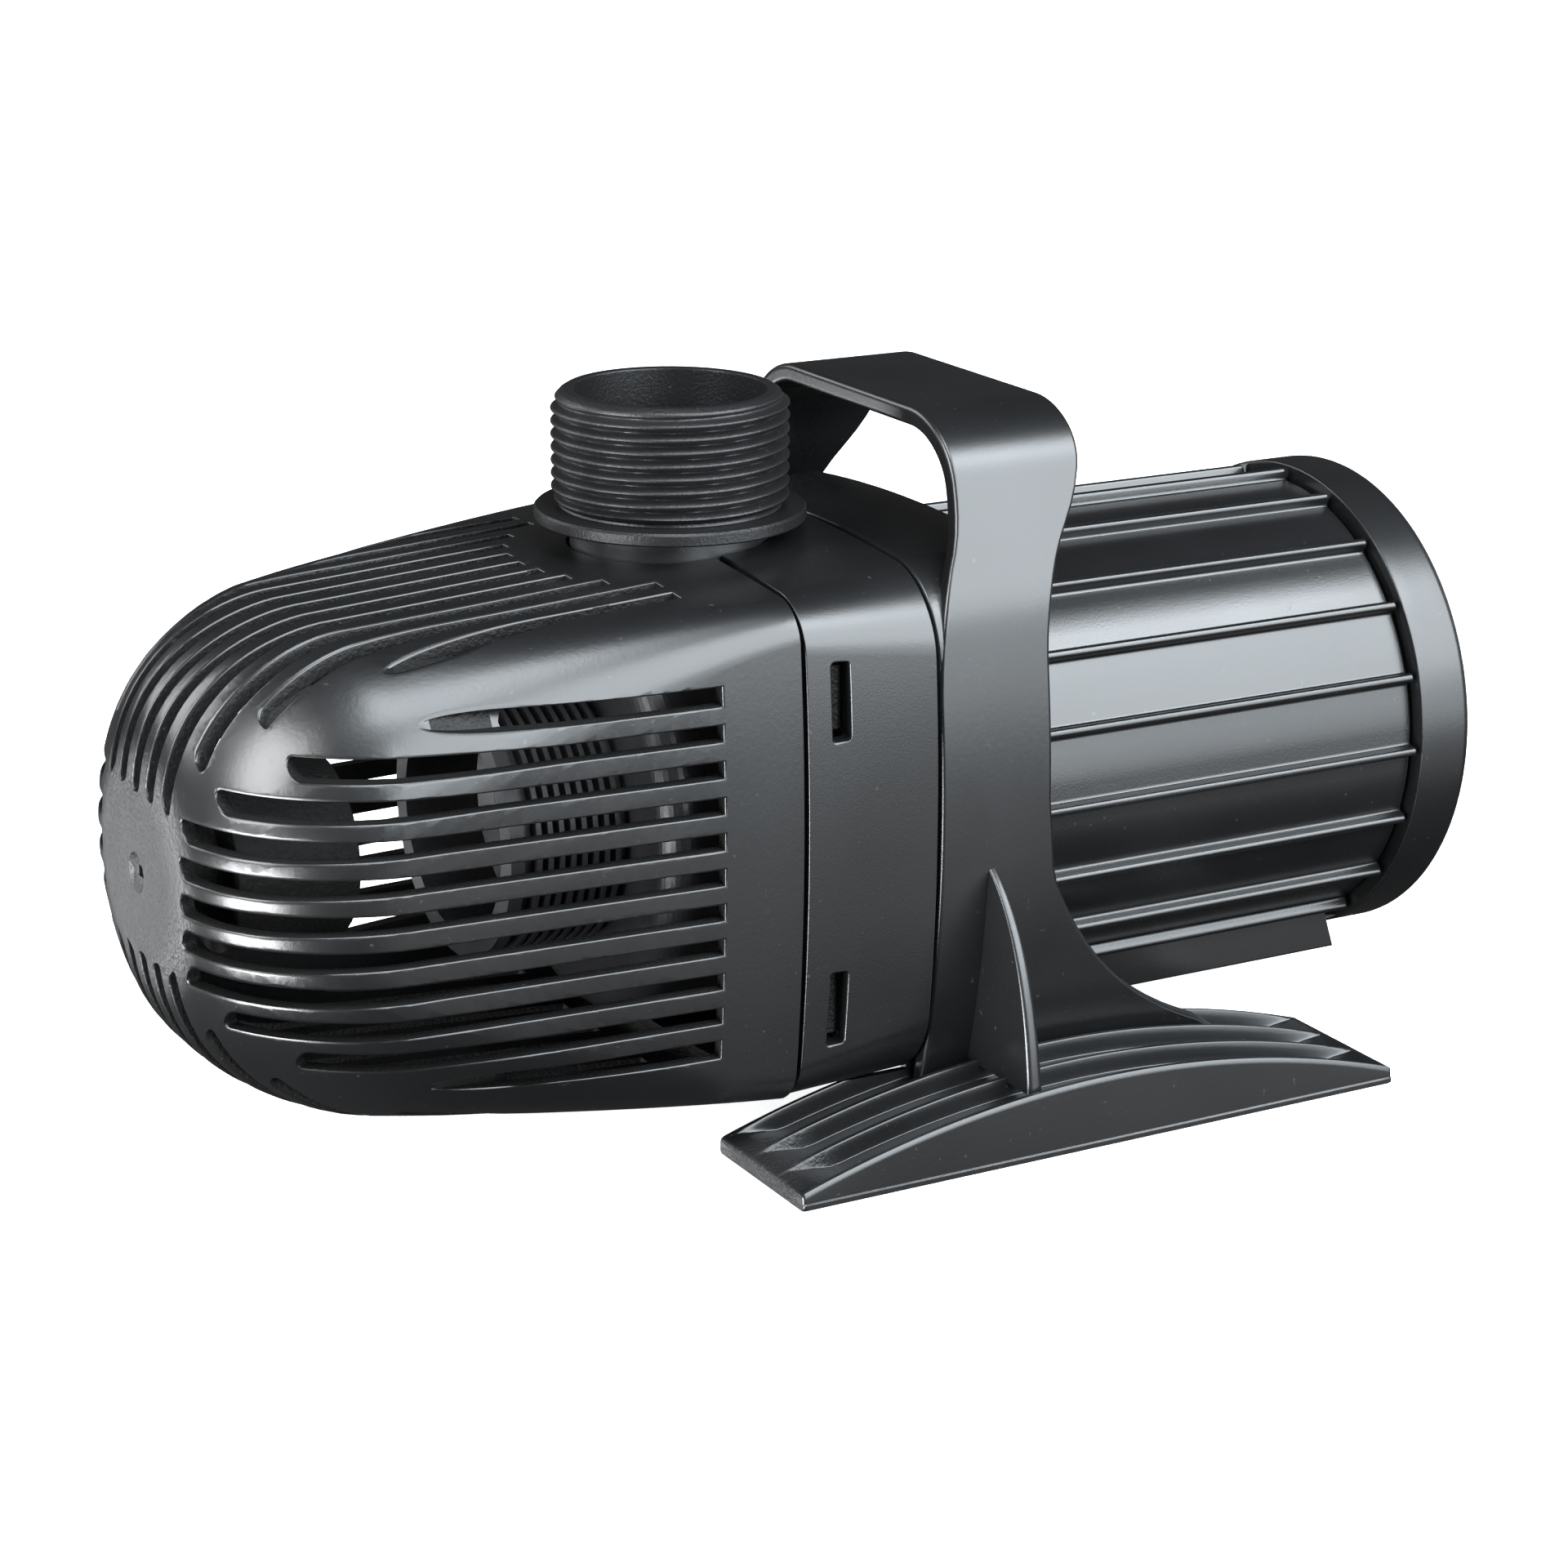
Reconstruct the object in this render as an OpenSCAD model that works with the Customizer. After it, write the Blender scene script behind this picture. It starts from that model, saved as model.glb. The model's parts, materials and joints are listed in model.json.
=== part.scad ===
// Fountain submersible pump: a canned motor and volute inside a clip-on strainer cage,
// carried by a one-piece bracket with feet and a carrying handle.
// +Z is up and z = 0 is the surface that the feet stand on. The pump axis runs along X, and the cage
// points along -X. All lengths are in millimetres. Shapes are written about the crossing of the pump
// axis with the outlet axis, and from_outlet() moves them into the part's frame.

/* [Overall] */
// Height of the pump axis above the surface the feet stand on
axis_height = 55; // [54:0.5:60]
// Height of the outlet's top edge above the surface the feet stand on
outlet_height = 128.3; // [126:0.1:134]

/* [Strainer cage] */
// Length of the cage from its rear edge to the tip of the nose
cage_length = 101.3; // [96:0.1:110]
// Full width of the cage at its rear edge
cage_width = 99.8; // [99:0.2:102]
// Full height of the cage at its rear edge
cage_height = 94; // [93:0.2:96]
// Wall thickness of the cage
cage_wall = 2.6; // [2.2:0.1:3]
// How far in front of the rear edge the nose starts to round
nose_start = 70; // [65:1:75]
// Width of a strainer slot
slot_width = 3; // [2.4:0.1:3.4]
// Distance between neighbouring slots
slot_pitch = 6.24; // [6:0.02:6.3]

/* [Clip ring] */
// Length of the clip ring along the pump axis
ring_length = 27; // [26:0.5:27]
// Wall thickness of the clip ring
ring_wall = 3; // [2.5:0.1:3.2]
// Height of one clip window
window_height = 13.5; // [10:0.5:15]
// Width of one clip window along the pump axis
window_width = 3.5; // [3:0.1:4]

/* [Bracket] */
// Rear face of the bracket's block, measured back from the outlet axis
block_end = 50; // [49:0.5:51]
// Full width of the bracket's block
block_width = 97.6; // [97:0.2:99]
// Full height of the bracket's block
block_height = 96.4; // [95:0.2:97]
// Height of the handle's top face above the surface the feet stand on
handle_top = 125.3; // [122:0.1:128]
// Thickness of the handle and column band
band_thickness = 3.2; // [2.8:0.1:3.6]
// Length of one foot along the pump axis
foot_length = 124.2; // [118:0.2:130]
// Width of one foot
foot_width = 30.1; // [28:0.1:30.5]
// Gap between the two feet
foot_gap = 74; // [73:0.5:76]
// Height of a foot in its middle
foot_height = 13; // [12:0.5:14]

/* [Motor] */
// Radius of the motor housing between its ribs
motor_r = 43; // [42.8:0.1:43.1]
// Radius over the housing's ribs
rib_r = 45.2; // [44.8:0.1:45.5]
// Number of cooling ribs around the housing
rib_count = 20; // [16:4:24]
// Radius of the rear end cap
cap_r = 45.7; // [45.5:0.1:46]
// Length of the end cap's visible band
cap_length = 11.7; // [11:0.1:13]

/* [Outlet] */
// Outside diameter of the outlet thread (G 1 1/4)
thread_d = 41.91; // [41.8:0.01:42.2]
// Pitch of the outlet thread
thread_pitch = 2.309; // [2.2:0.001:2.4]
// Bore diameter at the outlet's mouth
outlet_bore_d = 34; // [32:0.5:35]
// Diameter of the collar below the thread
collar_d = 48; // [46:0.5:50]

/* [Pump] */
// Radius of the impeller
impeller_r = 28; // [26:0.5:29]
// Number of impeller vanes
vane_count = 7; // [5:1:9]
// Outside radius of the volute drum
volute_r = 38; // [37.5:0.5:38.5]
// Radius of the rotor magnet
magnet_r = 14.2; // [13.8:0.1:14.2]
// Radius of the ceramic shaft
shaft_r = 2.5; // [2.4:0.1:2.5]

/* [Hidden] */
$fn = 96;
cut = 1;                       // how far a cutter runs past the face it opens

moulded = [0.10, 0.10, 0.11];
matte = [0.16, 0.16, 0.17];
rubber = [0.05, 0.05, 0.05];
steel = [0.70, 0.71, 0.73];
copper = [0.75, 0.42, 0.20];
ceramic = [0.92, 0.91, 0.88];

seam = 0.4;                    // half of the shadow gap at a joint line
motor_end = block_end + 83.5;  // rear end of the ribbed housing
cap_start = motor_end + 0.8;
cap_end = cap_start + cap_length;
gland_length = 14;             // how far the gland stands behind the end cap
nose_tip_share = 0.993;        // the nose is cut flat at this share of the cage's length
nose_tip = cage_length * nose_tip_share + seam;
outlet_x = (nose_tip - cap_end - gland_length) / 2;
thread_r = thread_d / 2;
neck_r = 17.7;                 // the volute's spigot under the collar
neck_hole_r = 18.4;
collar_z = outlet_height - axis_height - 23;
collar_top = collar_z + 2.3;
outlet_top = outlet_height - axis_height;
window_x = 7.2;                // centre of the clip windows behind the cage's rear edge
window_z = 27.5;
skirt_end = 12;                // the cage's inner skirt reaches this far into the ring
corner_bolt_r = 47.5;          // the four corner bosses sit on this radius
corner_angles = [45, 135, 225, 315];
housing_bore = motor_r - 3;
can_r = 16;
flange_front = ring_length - 3;
flange_back = ring_length + 3;
chamber_r = 33;
eye_r = 12.5;

// ---- placing and turning ----
module from_outlet() translate([outlet_x, 0, axis_height]) children();
// An outline drawn as (across, up) runs from x0 to x1 along the pump axis
module along_x(x0, x1) translate([x0, 0, 0]) rotate([90, 0, 90]) linear_extrude(x1 - x0) children();
// An outline drawn as (along, up) is extruded across the pump from y0 to y1
module along_y(y0, y1) translate([0, y1, 0]) rotate([90, 0, 0]) linear_extrude(y1 - y0) children();
// A profile drawn as (radius, distance behind the outlet axis) is turned about the pump axis
module turned_x(profile) rotate([0, 90, 0]) rotate_extrude() polygon(profile);
module rod_x(r, x0, x1) translate([x0, 0, 0]) rotate([0, 90, 0]) cylinder(r = r, h = x1 - x0);
module tube_x(r_out, r_in, x0, x1) difference() {
    rod_x(r_out, x0, x1);
    rod_x(r_in, x0 - cut, x1 + cut);
}
module ring_x(r, section_r, x) translate([x, 0, 0]) rotate([0, 90, 0]) rotate_extrude()
    translate([r, 0]) circle(r = section_r, $fn = 24);
module at_corners(r = corner_bolt_r) for (a = corner_angles) rotate([a, 0, 0]) translate([0, r, 0])
    children();
module both_sides() for (side = [0, 1]) mirror([0, side, 0]) children();

// ---- outlines ----
function unit(v) = v / norm(v);
function spin(p, a) = [p[0] * cos(a) - p[1] * sin(a), p[0] * sin(a) + p[1] * cos(a)];
// Arc of radius r that rounds the corner b between a and c
function fillet(a, b, c, r, n = 8) = let(
        u = unit(a - b), v = unit(c - b), half = acos(u * v) / 2,
        centre = b + unit(u + v) * r / sin(half), first = b + u * r / tan(half) - centre,
        way = cross(first, b + v * r / tan(half) - centre) > 0 ? 1 : -1)
    [for (i = [0:n]) centre + spin(first, way * (180 - 2 * half) * i / n)];
// Closed outline from corners given as [x, y, corner radius]
function rounded(p) = [for (i = [0:len(p) - 1]) let(
        a = p[(i + len(p) - 1) % len(p)], b = p[i], c = p[(i + 1) % len(p)])
    each b[2] == 0 ? [[b[0], b[1]]] : fillet([a[0], a[1]], [b[0], b[1]], [c[0], c[1]], b[2])];
function curve(a, b, c, n = 8) = [for (i = [0:n]) let(t = i / n)
    a * (1 - t) * (1 - t) + b * 2 * t * (1 - t) + c * t * t];

// Rounded rectangle with half sizes w and h: six steps on each corner and four on each flat
function rim_corner(w, h, r, a) = [
    (w - r) * (a < 90 || a >= 270 ? 1 : -1) + r * cos(a), (h - r) * (a < 180 ? 1 : -1) + r * sin(a)];
function rim(w, h, r) = [for (k = [0:3]) each concat(
    [for (i = [0:5]) rim_corner(w, h, r, 90 * k + 90 * i / 5 - (i == 5 ? 0.001 : 0))],
    [for (j = [1:3]) let(a = rim_corner(w, h, r, 90 * k + 89.999),
        b = rim_corner(w, h, r, (90 * k + 90) % 360)) a + (b - a) * j / 4])];
// The same with its four sides bulging outwards to the half sizes w and h
function bulged(w, h, r, bulge) = let(bw = w - bulge, bh = h - bulge) [for (p = rim(bw, bh, r))
    [p[0] * (1 + bulge / bw * (1 - pow(p[1] / bh, 2))), p[1] * (1 + bulge / bh * (1 - pow(p[0] / bw, 2)))]];

// ---- strainer cage ----
// Size of the cage's section, as a share of its rear section, at u in front of the rear edge
cage_taper = 0.00137;
function cage_share(u) = u <= nose_start ? 1 - cage_taper * u
    : (1 - cage_taper * nose_start)
        * pow(max(0, 1 - pow((u - nose_start) / (cage_length - nose_start), 1.53)), 0.268);
// The corners grow rounder towards the nose
function cage_section(u, inset) = let(
        w = cage_width / 2 * cage_share(u) - inset, h = cage_height / 2 * cage_share(u) - inset,
        r = min(h * 0.97, 6 + (h - 6) * pow(u / cage_length, 1.5)))
    bulged(w, h, r, 3 * (h - r) / cage_height * 2);
cage_stations = [0, 0.2, 0.4, 0.58, 0.7, 0.77, 0.84, 0.9, 0.945, 0.975, nose_tip_share];
module cage_form(inset) hull() for (s = cage_stations) let(x = -s * (cage_length - inset))
    along_x(x, x + 0.02) polygon(cage_section(s * cage_length, inset));

// The slots run round the nose until they are this far from the axis
function slot_reach(k, side) = k <= 2 ? (side ? 18.5 : 14.2) : k == 3 ? (side ? 25 : 23)
    : k == 4 ? 33 : 39;
function slot_front(k) = k <= 3 ? cage_length + cut : k == 4 ? 88 : 62;
slot_rear = 15.2;
outlet_clear_r = 29;           // the top slots stop short of the outlet on this radius
function slot_back(k, top) = top && k <= 3
    ? sqrt(outlet_clear_r * outlet_clear_r - k * k * slot_pitch * slot_pitch) : slot_rear;
module cage_slots(top, side) for (k = [-5:5])
    along_x(-slot_front(abs(k)), -slot_back(abs(k), top))
        translate([k * slot_pitch, slot_reach(abs(k), side)])
            polygon([for (a = [180:30:360]) [cos(a), sin(a)] * slot_width / 2,
                [slot_width / 2, cage_width], [-slot_width / 2, cage_width]]);

ring_half_w = cage_width / 2;
ring_half_h = cage_height / 2 + 0.4;
module slotted_cage() difference() {
    union() {
        difference() {
            translate([-seam, 0, 0]) cage_form(0);
            translate([-seam, 0, 0]) cage_form(cage_wall);
            along_x(-cut, cut) polygon(cage_section(0, cage_wall));
        }
        difference() {
            union() {
                along_x(-6, -seam) polygon(cage_section(0, cage_wall - 1));
                along_x(-6, skirt_end) polygon(bulged(ring_half_w - ring_wall - 0.4,
                    ring_half_h - ring_wall - 0.4, 6, 3));
            }
            along_x(-6 - cut, skirt_end + cut) polygon(bulged(ring_half_w - ring_wall - 2.2,
                ring_half_h - ring_wall - 2.2, 5, 3));
        }
    }
    for (face = [0:3]) rotate([90 * face, 0, 0]) cage_slots(face == 0, face % 2 == 1);
    cylinder(r = neck_hole_r, h = 60);
    translate([0, -neck_hole_r, 0]) cube([skirt_end + cut, 2 * neck_hole_r, 60]);
    rod_x(3.2, -cage_length - cut, 1.2 - cage_length);
}
cup_front = -89;
cup_rear = -67;
cup_r = 16;
module strainer_cage() color(moulded) from_outlet() {
    slotted_cage();
    // Cup on a stem inside the nose, which keeps the flow off the nose wall
    rod_x(8, 1.8 - cage_length, cup_front + 1);
    difference() {
        rod_x(cup_r, cup_front, cup_rear);
        rod_x(cup_r - 1.8, cup_front + 2, cup_rear + cut);
    }
}

// ---- clip ring between the cage and the bracket ----
module strainer_ring() color(moulded) from_outlet() difference() {
    along_x(seam, ring_length - seam) polygon(bulged(ring_half_w, ring_half_h, 8, 3));
    along_x(0, ring_length) polygon(bulged(ring_half_w - ring_wall, ring_half_h - ring_wall, 6, 3));
    cylinder(r = neck_hole_r, h = 60);
    for (z = [-window_z, window_z]) translate([window_x, 0, z])
        cube([window_width, 2 * cage_width, window_height], center = true);
}

// ---- bracket: block, columns, feet and handle in one moulding ----
side_y = block_width / 2;
column_arc_r = 210;            // the columns lean inwards towards the feet on this radius
function column_y(z) = side_y - column_arc_r + sqrt(column_arc_r * column_arc_r - z * z);
handle_z = handle_top - axis_height;
shoulder_z = 39;               // the band leaves the block's side at this height
handle_corner_y = 32;
handle_bend_r = 17;
column_base_z = 4 - axis_height;
column_step = (shoulder_z - column_base_z) / 11;
function column_points(inset, side) = [for (i = [0:11]) let(z = column_base_z + i * column_step)
    [side * (column_y(z) - inset), z]];
function backwards(list) = [for (i = [len(list) - 1:-1:0]) list[i]];
module band(inset) polygon(concat(
    [[column_y(-50) - inset, -axis_height]], column_points(inset, 1),
    rounded([[column_y(shoulder_z) - inset, shoulder_z, 0],
        [handle_corner_y - inset * 0.6, handle_z - inset, handle_bend_r - inset],
        [inset * 0.6 - handle_corner_y, handle_z - inset, handle_bend_r - inset],
        [inset - column_y(shoulder_z), shoulder_z, 0]]),
    backwards(column_points(inset, -1)), [[inset - column_y(-50), -axis_height]]));
// Side view of the handle: it leans back from the block's top corners
handle_side = concat(
    [[ring_length + seam, 0], [ring_length + seam, 24]],
    curve([ring_length + seam, 24], [ring_length + 1, 38], [33, 48]), curve([33, 48], [36, 54], [36, 62]),
    [[36, 75], [63, 75]],
    curve([63, 68], [62.5, 58], [57, 50]), curve([57, 50], [block_end, 42], [block_end, 30]),
    [[block_end, 0]]);
// Side view of a column: straight at the front and flared at the rear of its foot
column_side = concat([[ring_length + seam, 4], [ring_length + seam, 8 - axis_height]],
    [[86, 8 - axis_height]],
    curve([86, 9.5 - axis_height], [60, 22 - axis_height], [block_end + 1.3, 44 - axis_height]),
    [[block_end, 4]]);
foot_x = -9.8;
ring_clear = 0.35;             // the feet are relieved where the clip ring passes over them
ridge_w = 2.6;
foot_edge = 3;                 // height of the feet at their two ends
module foot_arch(height, y0, y1)
    let(rise = height - foot_edge, r = (pow(foot_length / 2, 2) + rise * rise) / (2 * rise))
    intersection() {
        translate([foot_x, y0, -axis_height]) cube([foot_length, y1 - y0, height]);
        translate([foot_x + foot_length / 2, y0 - cut, height - r - axis_height]) rotate([-90, 0, 0])
            cylinder(r = r, h = y1 - y0 + 2 * cut, $fn = 400);
    }
module foot() {
    inner_y = foot_gap / 2;
    outer_y = inner_y + foot_width;
    foot_arch(foot_height - 3, inner_y, outer_y);
    for (i = [0:3]) let(y = inner_y + i * (foot_width - ridge_w) / 3)
        foot_arch(foot_height, y, y + ridge_w);
}
fin_x = 38;
module fin() along_x(fin_x - 1.5, fin_x + 1.5) polygon(concat(
    curve([side_y - 1, -6], [60, -14], [64.5, foot_height - 1 - axis_height]),
    [[44, foot_height - 1 - axis_height], [46, -30]]));
module bracket_block() difference() {
    along_x(ring_length + seam, block_end) polygon(bulged(side_y, block_height / 2, 13, 3));
    along_x(ring_length, block_end - 4)
        polygon(bulged(side_y - band_thickness, block_height / 2 - 3.2, 10, 3));
    rod_x(motor_r + 0.15, ring_length, block_end + cut);
}
module stand_bracket() color(moulded) from_outlet() difference() {
    union() {
        bracket_block();
        intersection() {
            difference() {
                along_x(0, 100) band(0);
                along_x(-cut, 100 + cut) band(band_thickness);
            }
            union() {
                along_y(-60, 60) polygon(handle_side);
                along_y(-60, 60) polygon(column_side);
            }
        }
        both_sides() foot();
        both_sides() fin();
    }
    at_corners() rod_x(2.2, block_end - 5, block_end + cut);
    along_x(foot_x, ring_length) polygon(bulged(ring_half_w + ring_clear, ring_half_h + ring_clear, 8, 3));
}
module screw_x(x, head_r, head_h, shank_r, length, way) {
    rod_x(head_r, way > 0 ? x - head_h : x, way > 0 ? x : x + head_h);
    rod_x(shank_r, way > 0 ? x - cut : x - length, way > 0 ? x + length : x + cut);
}
module bracket_screws() color(steel) from_outlet() at_corners()
    screw_x(block_end, 3.8, 2.4, 1.9, 11, -1);

// ---- motor ----
module motor_housing() color(moulded) from_outlet() difference() {
    union() {
        rod_x(motor_r, flange_back, motor_end);
        at_corners() rod_x(5.5, flange_back, block_end - 4);
        for (i = [0:rib_count - 1]) rotate([360 / rib_count * i, 0, 0]) {
            translate([block_end, motor_r - 1, -0.8])
                cube([motor_end - block_end, rib_r + 0.2 - motor_r, 1.6]);
            translate([0, rib_r - 0.8, 0]) rod_x(0.8, block_end, motor_end);
        }
        both_sides() along_y(19.5, 22.5) polygon([[block_end, -36], [motor_end - 2, -36],
            [motor_end - 0.5, -45.7], [block_end, -45.7]]);
    }
    rod_x(housing_bore, flange_back - cut, motor_end + cut);
    at_corners() rod_x(1.95, flange_back - cut, block_end);
}
module motor_end_cap() color(moulded) from_outlet() difference() {
    union() {
        turned_x([[0, cap_start], [cap_r, cap_start], [cap_r, cap_end - 2], [cap_r - 0.6, cap_end - 0.6],
            [cap_r - 2, cap_end], [0, cap_end]]);
        rod_x(housing_bore - 0.1, cap_start - 8, cap_start + cut);
    }
    rod_x(36, cap_start - 8 - cut, cap_end - 5);
    tube_x(housing_bore + cut, 38.2, cap_start - 5.2, cap_start - 3.2);
    rod_x(6.1, cap_end - 6, cap_end + cut);
}
module end_cap_seal() color(rubber) from_outlet() ring_x(39.05, 0.82, cap_start - 4.2);

// ---- outlet ----
thread_start = collar_top + 0.5;
thread_depth = 1.3;
crest_w = 0.6;
thread_turns = floor((outlet_top - 0.8 - thread_start) / thread_pitch);
thread_profile = concat([[0, collar_z], [collar_d / 2, collar_z], [collar_d / 2, collar_top],
    [thread_r - thread_depth, collar_top]],
    [for (i = [0:thread_turns - 1]) let(z = thread_start + i * thread_pitch) each [
        [thread_r - thread_depth, z], [thread_r, z + 0.65], [thread_r, z + 0.65 + crest_w],
        [thread_r - thread_depth, z + 1.9]]],
    [[thread_r - thread_depth, outlet_top - 0.8], [thread_r - thread_depth - 0.8, outlet_top],
        [0, outlet_top]]);
spigot_r = 15.5;
module outlet_adapter() color(matte) from_outlet() difference() {
    union() {
        rotate_extrude() polygon(thread_profile);
        translate([0, 0, collar_z - 8]) cylinder(r = spigot_r, h = 9);
    }
    translate([0, 0, collar_z + 1.5]) cylinder(r = outlet_bore_d / 2, h = 40);
    translate([0, 0, collar_z - 9]) cylinder(r = 13.2, h = 20);
    translate([0, 0, collar_z - 6]) difference() {
        cylinder(r = spigot_r + cut, h = 2);
        translate([0, 0, -cut]) cylinder(r = 14.1, h = 2 + 2 * cut);
    }
}
module outlet_seal() color(rubber) from_outlet() translate([0, 0, collar_z - 5]) rotate_extrude()
    translate([14.85, 0]) circle(r = 0.72, $fn = 24);

// ---- pump chamber ----
drum_front = -15;
drum_back_wall = 9;
seal_gap = 0.1;                // squeezed thickness of the flat seals
// Four ears carry the corner screws of a round flange
module flange(x0, x1) {
    rod_x(42, x0, x1);
    at_corners() rod_x(5, x0, x1);
    at_corners(36) translate([x0, 0, -5]) cube([x1 - x0, corner_bolt_r - 36, 10]);
}
module volute_body() color(moulded) from_outlet() difference() {
    union() {
        rod_x(volute_r, drum_front, flange_front);
        flange(flange_front, ring_length);
        cylinder(r = 14.8, h = collar_z - 10);
        translate([0, 0, volute_r + 0.6]) cylinder(r = neck_r, h = collar_z - volute_r - 0.6);
    }
    rod_x(chamber_r, drum_front - cut, drum_back_wall);
    rod_x(8, drum_back_wall - cut, drum_back_wall + 3 + cut);
    rod_x(chamber_r + 1.5, drum_back_wall + 3, ring_length + cut);
    cylinder(r1 = 8, r2 = 13.2, h = collar_z - 8);
    translate([0, 0, collar_z - 8.2]) cylinder(r = spigot_r + 0.1, h = 9);
    at_corners() rod_x(2.2, flange_front - cut, ring_length + cut);
}
cover_front = drum_front - 5;
shoulder_r = 5;
module volute_cover() color(moulded) from_outlet() {
    turned_x(concat([[eye_r, drum_front - 3], [eye_r, cover_front]],
        [for (a = [90:-10:0])
            [volute_r - shoulder_r + shoulder_r * cos(a), drum_front - shoulder_r * sin(a)]],
        [[volute_r, drum_front - seal_gap], [chamber_r + 1, drum_front - seal_gap],
            [chamber_r - 2, drum_front - 3]]));
    difference() {
        union() {
            rod_x(6.5, cover_front, drum_front - 1);
            for (a = [90, 210, 330]) rotate([a, 0, 0]) translate([cover_front, 5, -1.2])
                cube([3, eye_r - 4, 2.4]);
        }
        rod_x(5, cover_front + 1.5, drum_front);
    }
}
module volute_screws() color(steel) from_outlet() at_corners()
    screw_x(flange_front, 3.8, 2.4, 1.9, 12, 1);
module volute_seal() color(rubber) from_outlet()
    tube_x(volute_r - 1.5, chamber_r + 1.6, drum_front - seal_gap, drum_front);
sleeve_front = cover_front - 23;
sleeve_r = 21.5;
sleeve_rim_r = 24;
sleeve_fin_pitch = 2.15;
module intake_sleeve() color(matte) from_outlet() difference() {
    union() {
        rod_x(sleeve_r, sleeve_front, cover_front);
        rod_x(sleeve_rim_r, sleeve_front, sleeve_front + 2.6);
        for (i = [0:7]) let(x = sleeve_front + 5 + i * sleeve_fin_pitch)
            tube_x(sleeve_rim_r, sleeve_r - 0.5, x, x + 0.9);
    }
    turned_x([[0, sleeve_front - cut], [sleeve_r - 1.6, sleeve_front - cut],
        [sleeve_r - 1.6, sleeve_front + 14], [eye_r, cover_front - 3], [eye_r, cover_front + cut],
        [0, cover_front + cut]]);
}

// ---- rotor ----
hub_front = drum_front + 3;
sleeve_end = 104;
bush_length = 9;
shaft_fit = 0.05;              // running clearance between shaft and bushes
vane_root = 5.5;               // the vanes start inside the hub, this far from the axis
module vane() intersection() {
    rod_x(impeller_r - 0.4, hub_front + 0.5, 4.5);
    translate([0, 0, 19]) tube_x(20, 18.2, hub_front + 0.5, 4.5);
    translate([hub_front, -40, -5]) cube([20, 40 - vane_root, 60]);
}
module impeller() color(matte) from_outlet() difference() {
    union() {
        rod_x(impeller_r, 4, 6);
        for (i = [0:vane_count - 1]) rotate([360 / vane_count * i, 0, 0]) vane();
        rod_x(7, hub_front, 6);
        rod_x(6, 5, sleeve_end);
    }
    rod_x(3.2, hub_front - cut, sleeve_end + cut);
    rod_x(4.5, hub_front - cut, hub_front + bush_length);
    rod_x(4.5, sleeve_end - bush_length, sleeve_end + cut);
}
module rotor_magnet() color(steel) from_outlet() tube_x(magnet_r, 6, 46, 100);
module front_rotor_bush() color(ceramic) from_outlet()
    tube_x(4.5, shaft_r + shaft_fit, hub_front, hub_front + bush_length);
module rear_rotor_bush() color(ceramic) from_outlet()
    tube_x(4.5, shaft_r + shaft_fit, sleeve_end - bush_length, sleeve_end);
shaft_front = cover_front + 2.5;
shaft_back = 111;
module rotor_shaft() color(ceramic) from_outlet() rod_x(shaft_r, shaft_front, shaft_back);
module front_shaft_cup() color(rubber) from_outlet() difference() {
    rod_x(5, cover_front + 1.5, drum_front + 0.5);
    rod_x(shaft_r, shaft_front, drum_front + cut);
}
module rear_shaft_cup() color(rubber) from_outlet() difference() {
    rod_x(5, sleeve_end + 3, shaft_back + 1);
    rod_x(shaft_r, sleeve_end + 2, shaft_back);
}
module thrust_washers() color(ceramic) from_outlet() {
    tube_x(4.4, shaft_r + shaft_fit, hub_front - 2, hub_front - 0.5);
    tube_x(4.4, shaft_r + shaft_fit, sleeve_end + 0.5, sleeve_end + 2);
}
module rotor_can() color(matte) from_outlet() difference() {
    union() {
        rod_x(can_r, ring_length + seal_gap, shaft_back + 3);
        flange(ring_length + seal_gap, flange_back);
    }
    difference() {
        rod_x(can_r - 1, ring_length - cut, shaft_back + 1);
        tube_x(can_r, 5, sleeve_end + 3, shaft_back + 2);
    }
    at_corners() rod_x(2.2, ring_length - cut, flange_back + cut);
}
module motor_seal() color(rubber) from_outlet() tube_x(41.5, 36, ring_length, ring_length + seal_gap);

// ---- stator, sealed between the can and the housing ----
core_x = [54, 94];
tooth_w = 8;
module stator_core() color(steel) from_outlet() difference() {
    union() {
        tube_x(37, 29, core_x[0], core_x[1]);
        for (a = [0:60:300]) rotate([a, 0, 0]) translate([core_x[0], 16.8, -tooth_w / 2])
            cube([core_x[1] - core_x[0], 13.5, tooth_w]);
    }
    rod_x(can_r + 0.4, core_x[0] - cut, core_x[1] + cut);
}
module stator_coils() color(copper) from_outlet() for (a = [0:60:300]) rotate([a, 0, 0]) difference() {
    translate([core_x[0] - 4, 19, -7.4]) cube([core_x[1] - core_x[0] + 8, 8.8, 14.8]);
    translate([core_x[0] - 0.2, 18, -tooth_w / 2 - 0.2])
        cube([core_x[1] - core_x[0] + 0.4, 11, tooth_w + 0.4]);
}
module potting_ring() color(rubber) from_outlet()
    tube_x(housing_bore - 0.1, can_r + 0.2, 101, shaft_back + 3);

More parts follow.
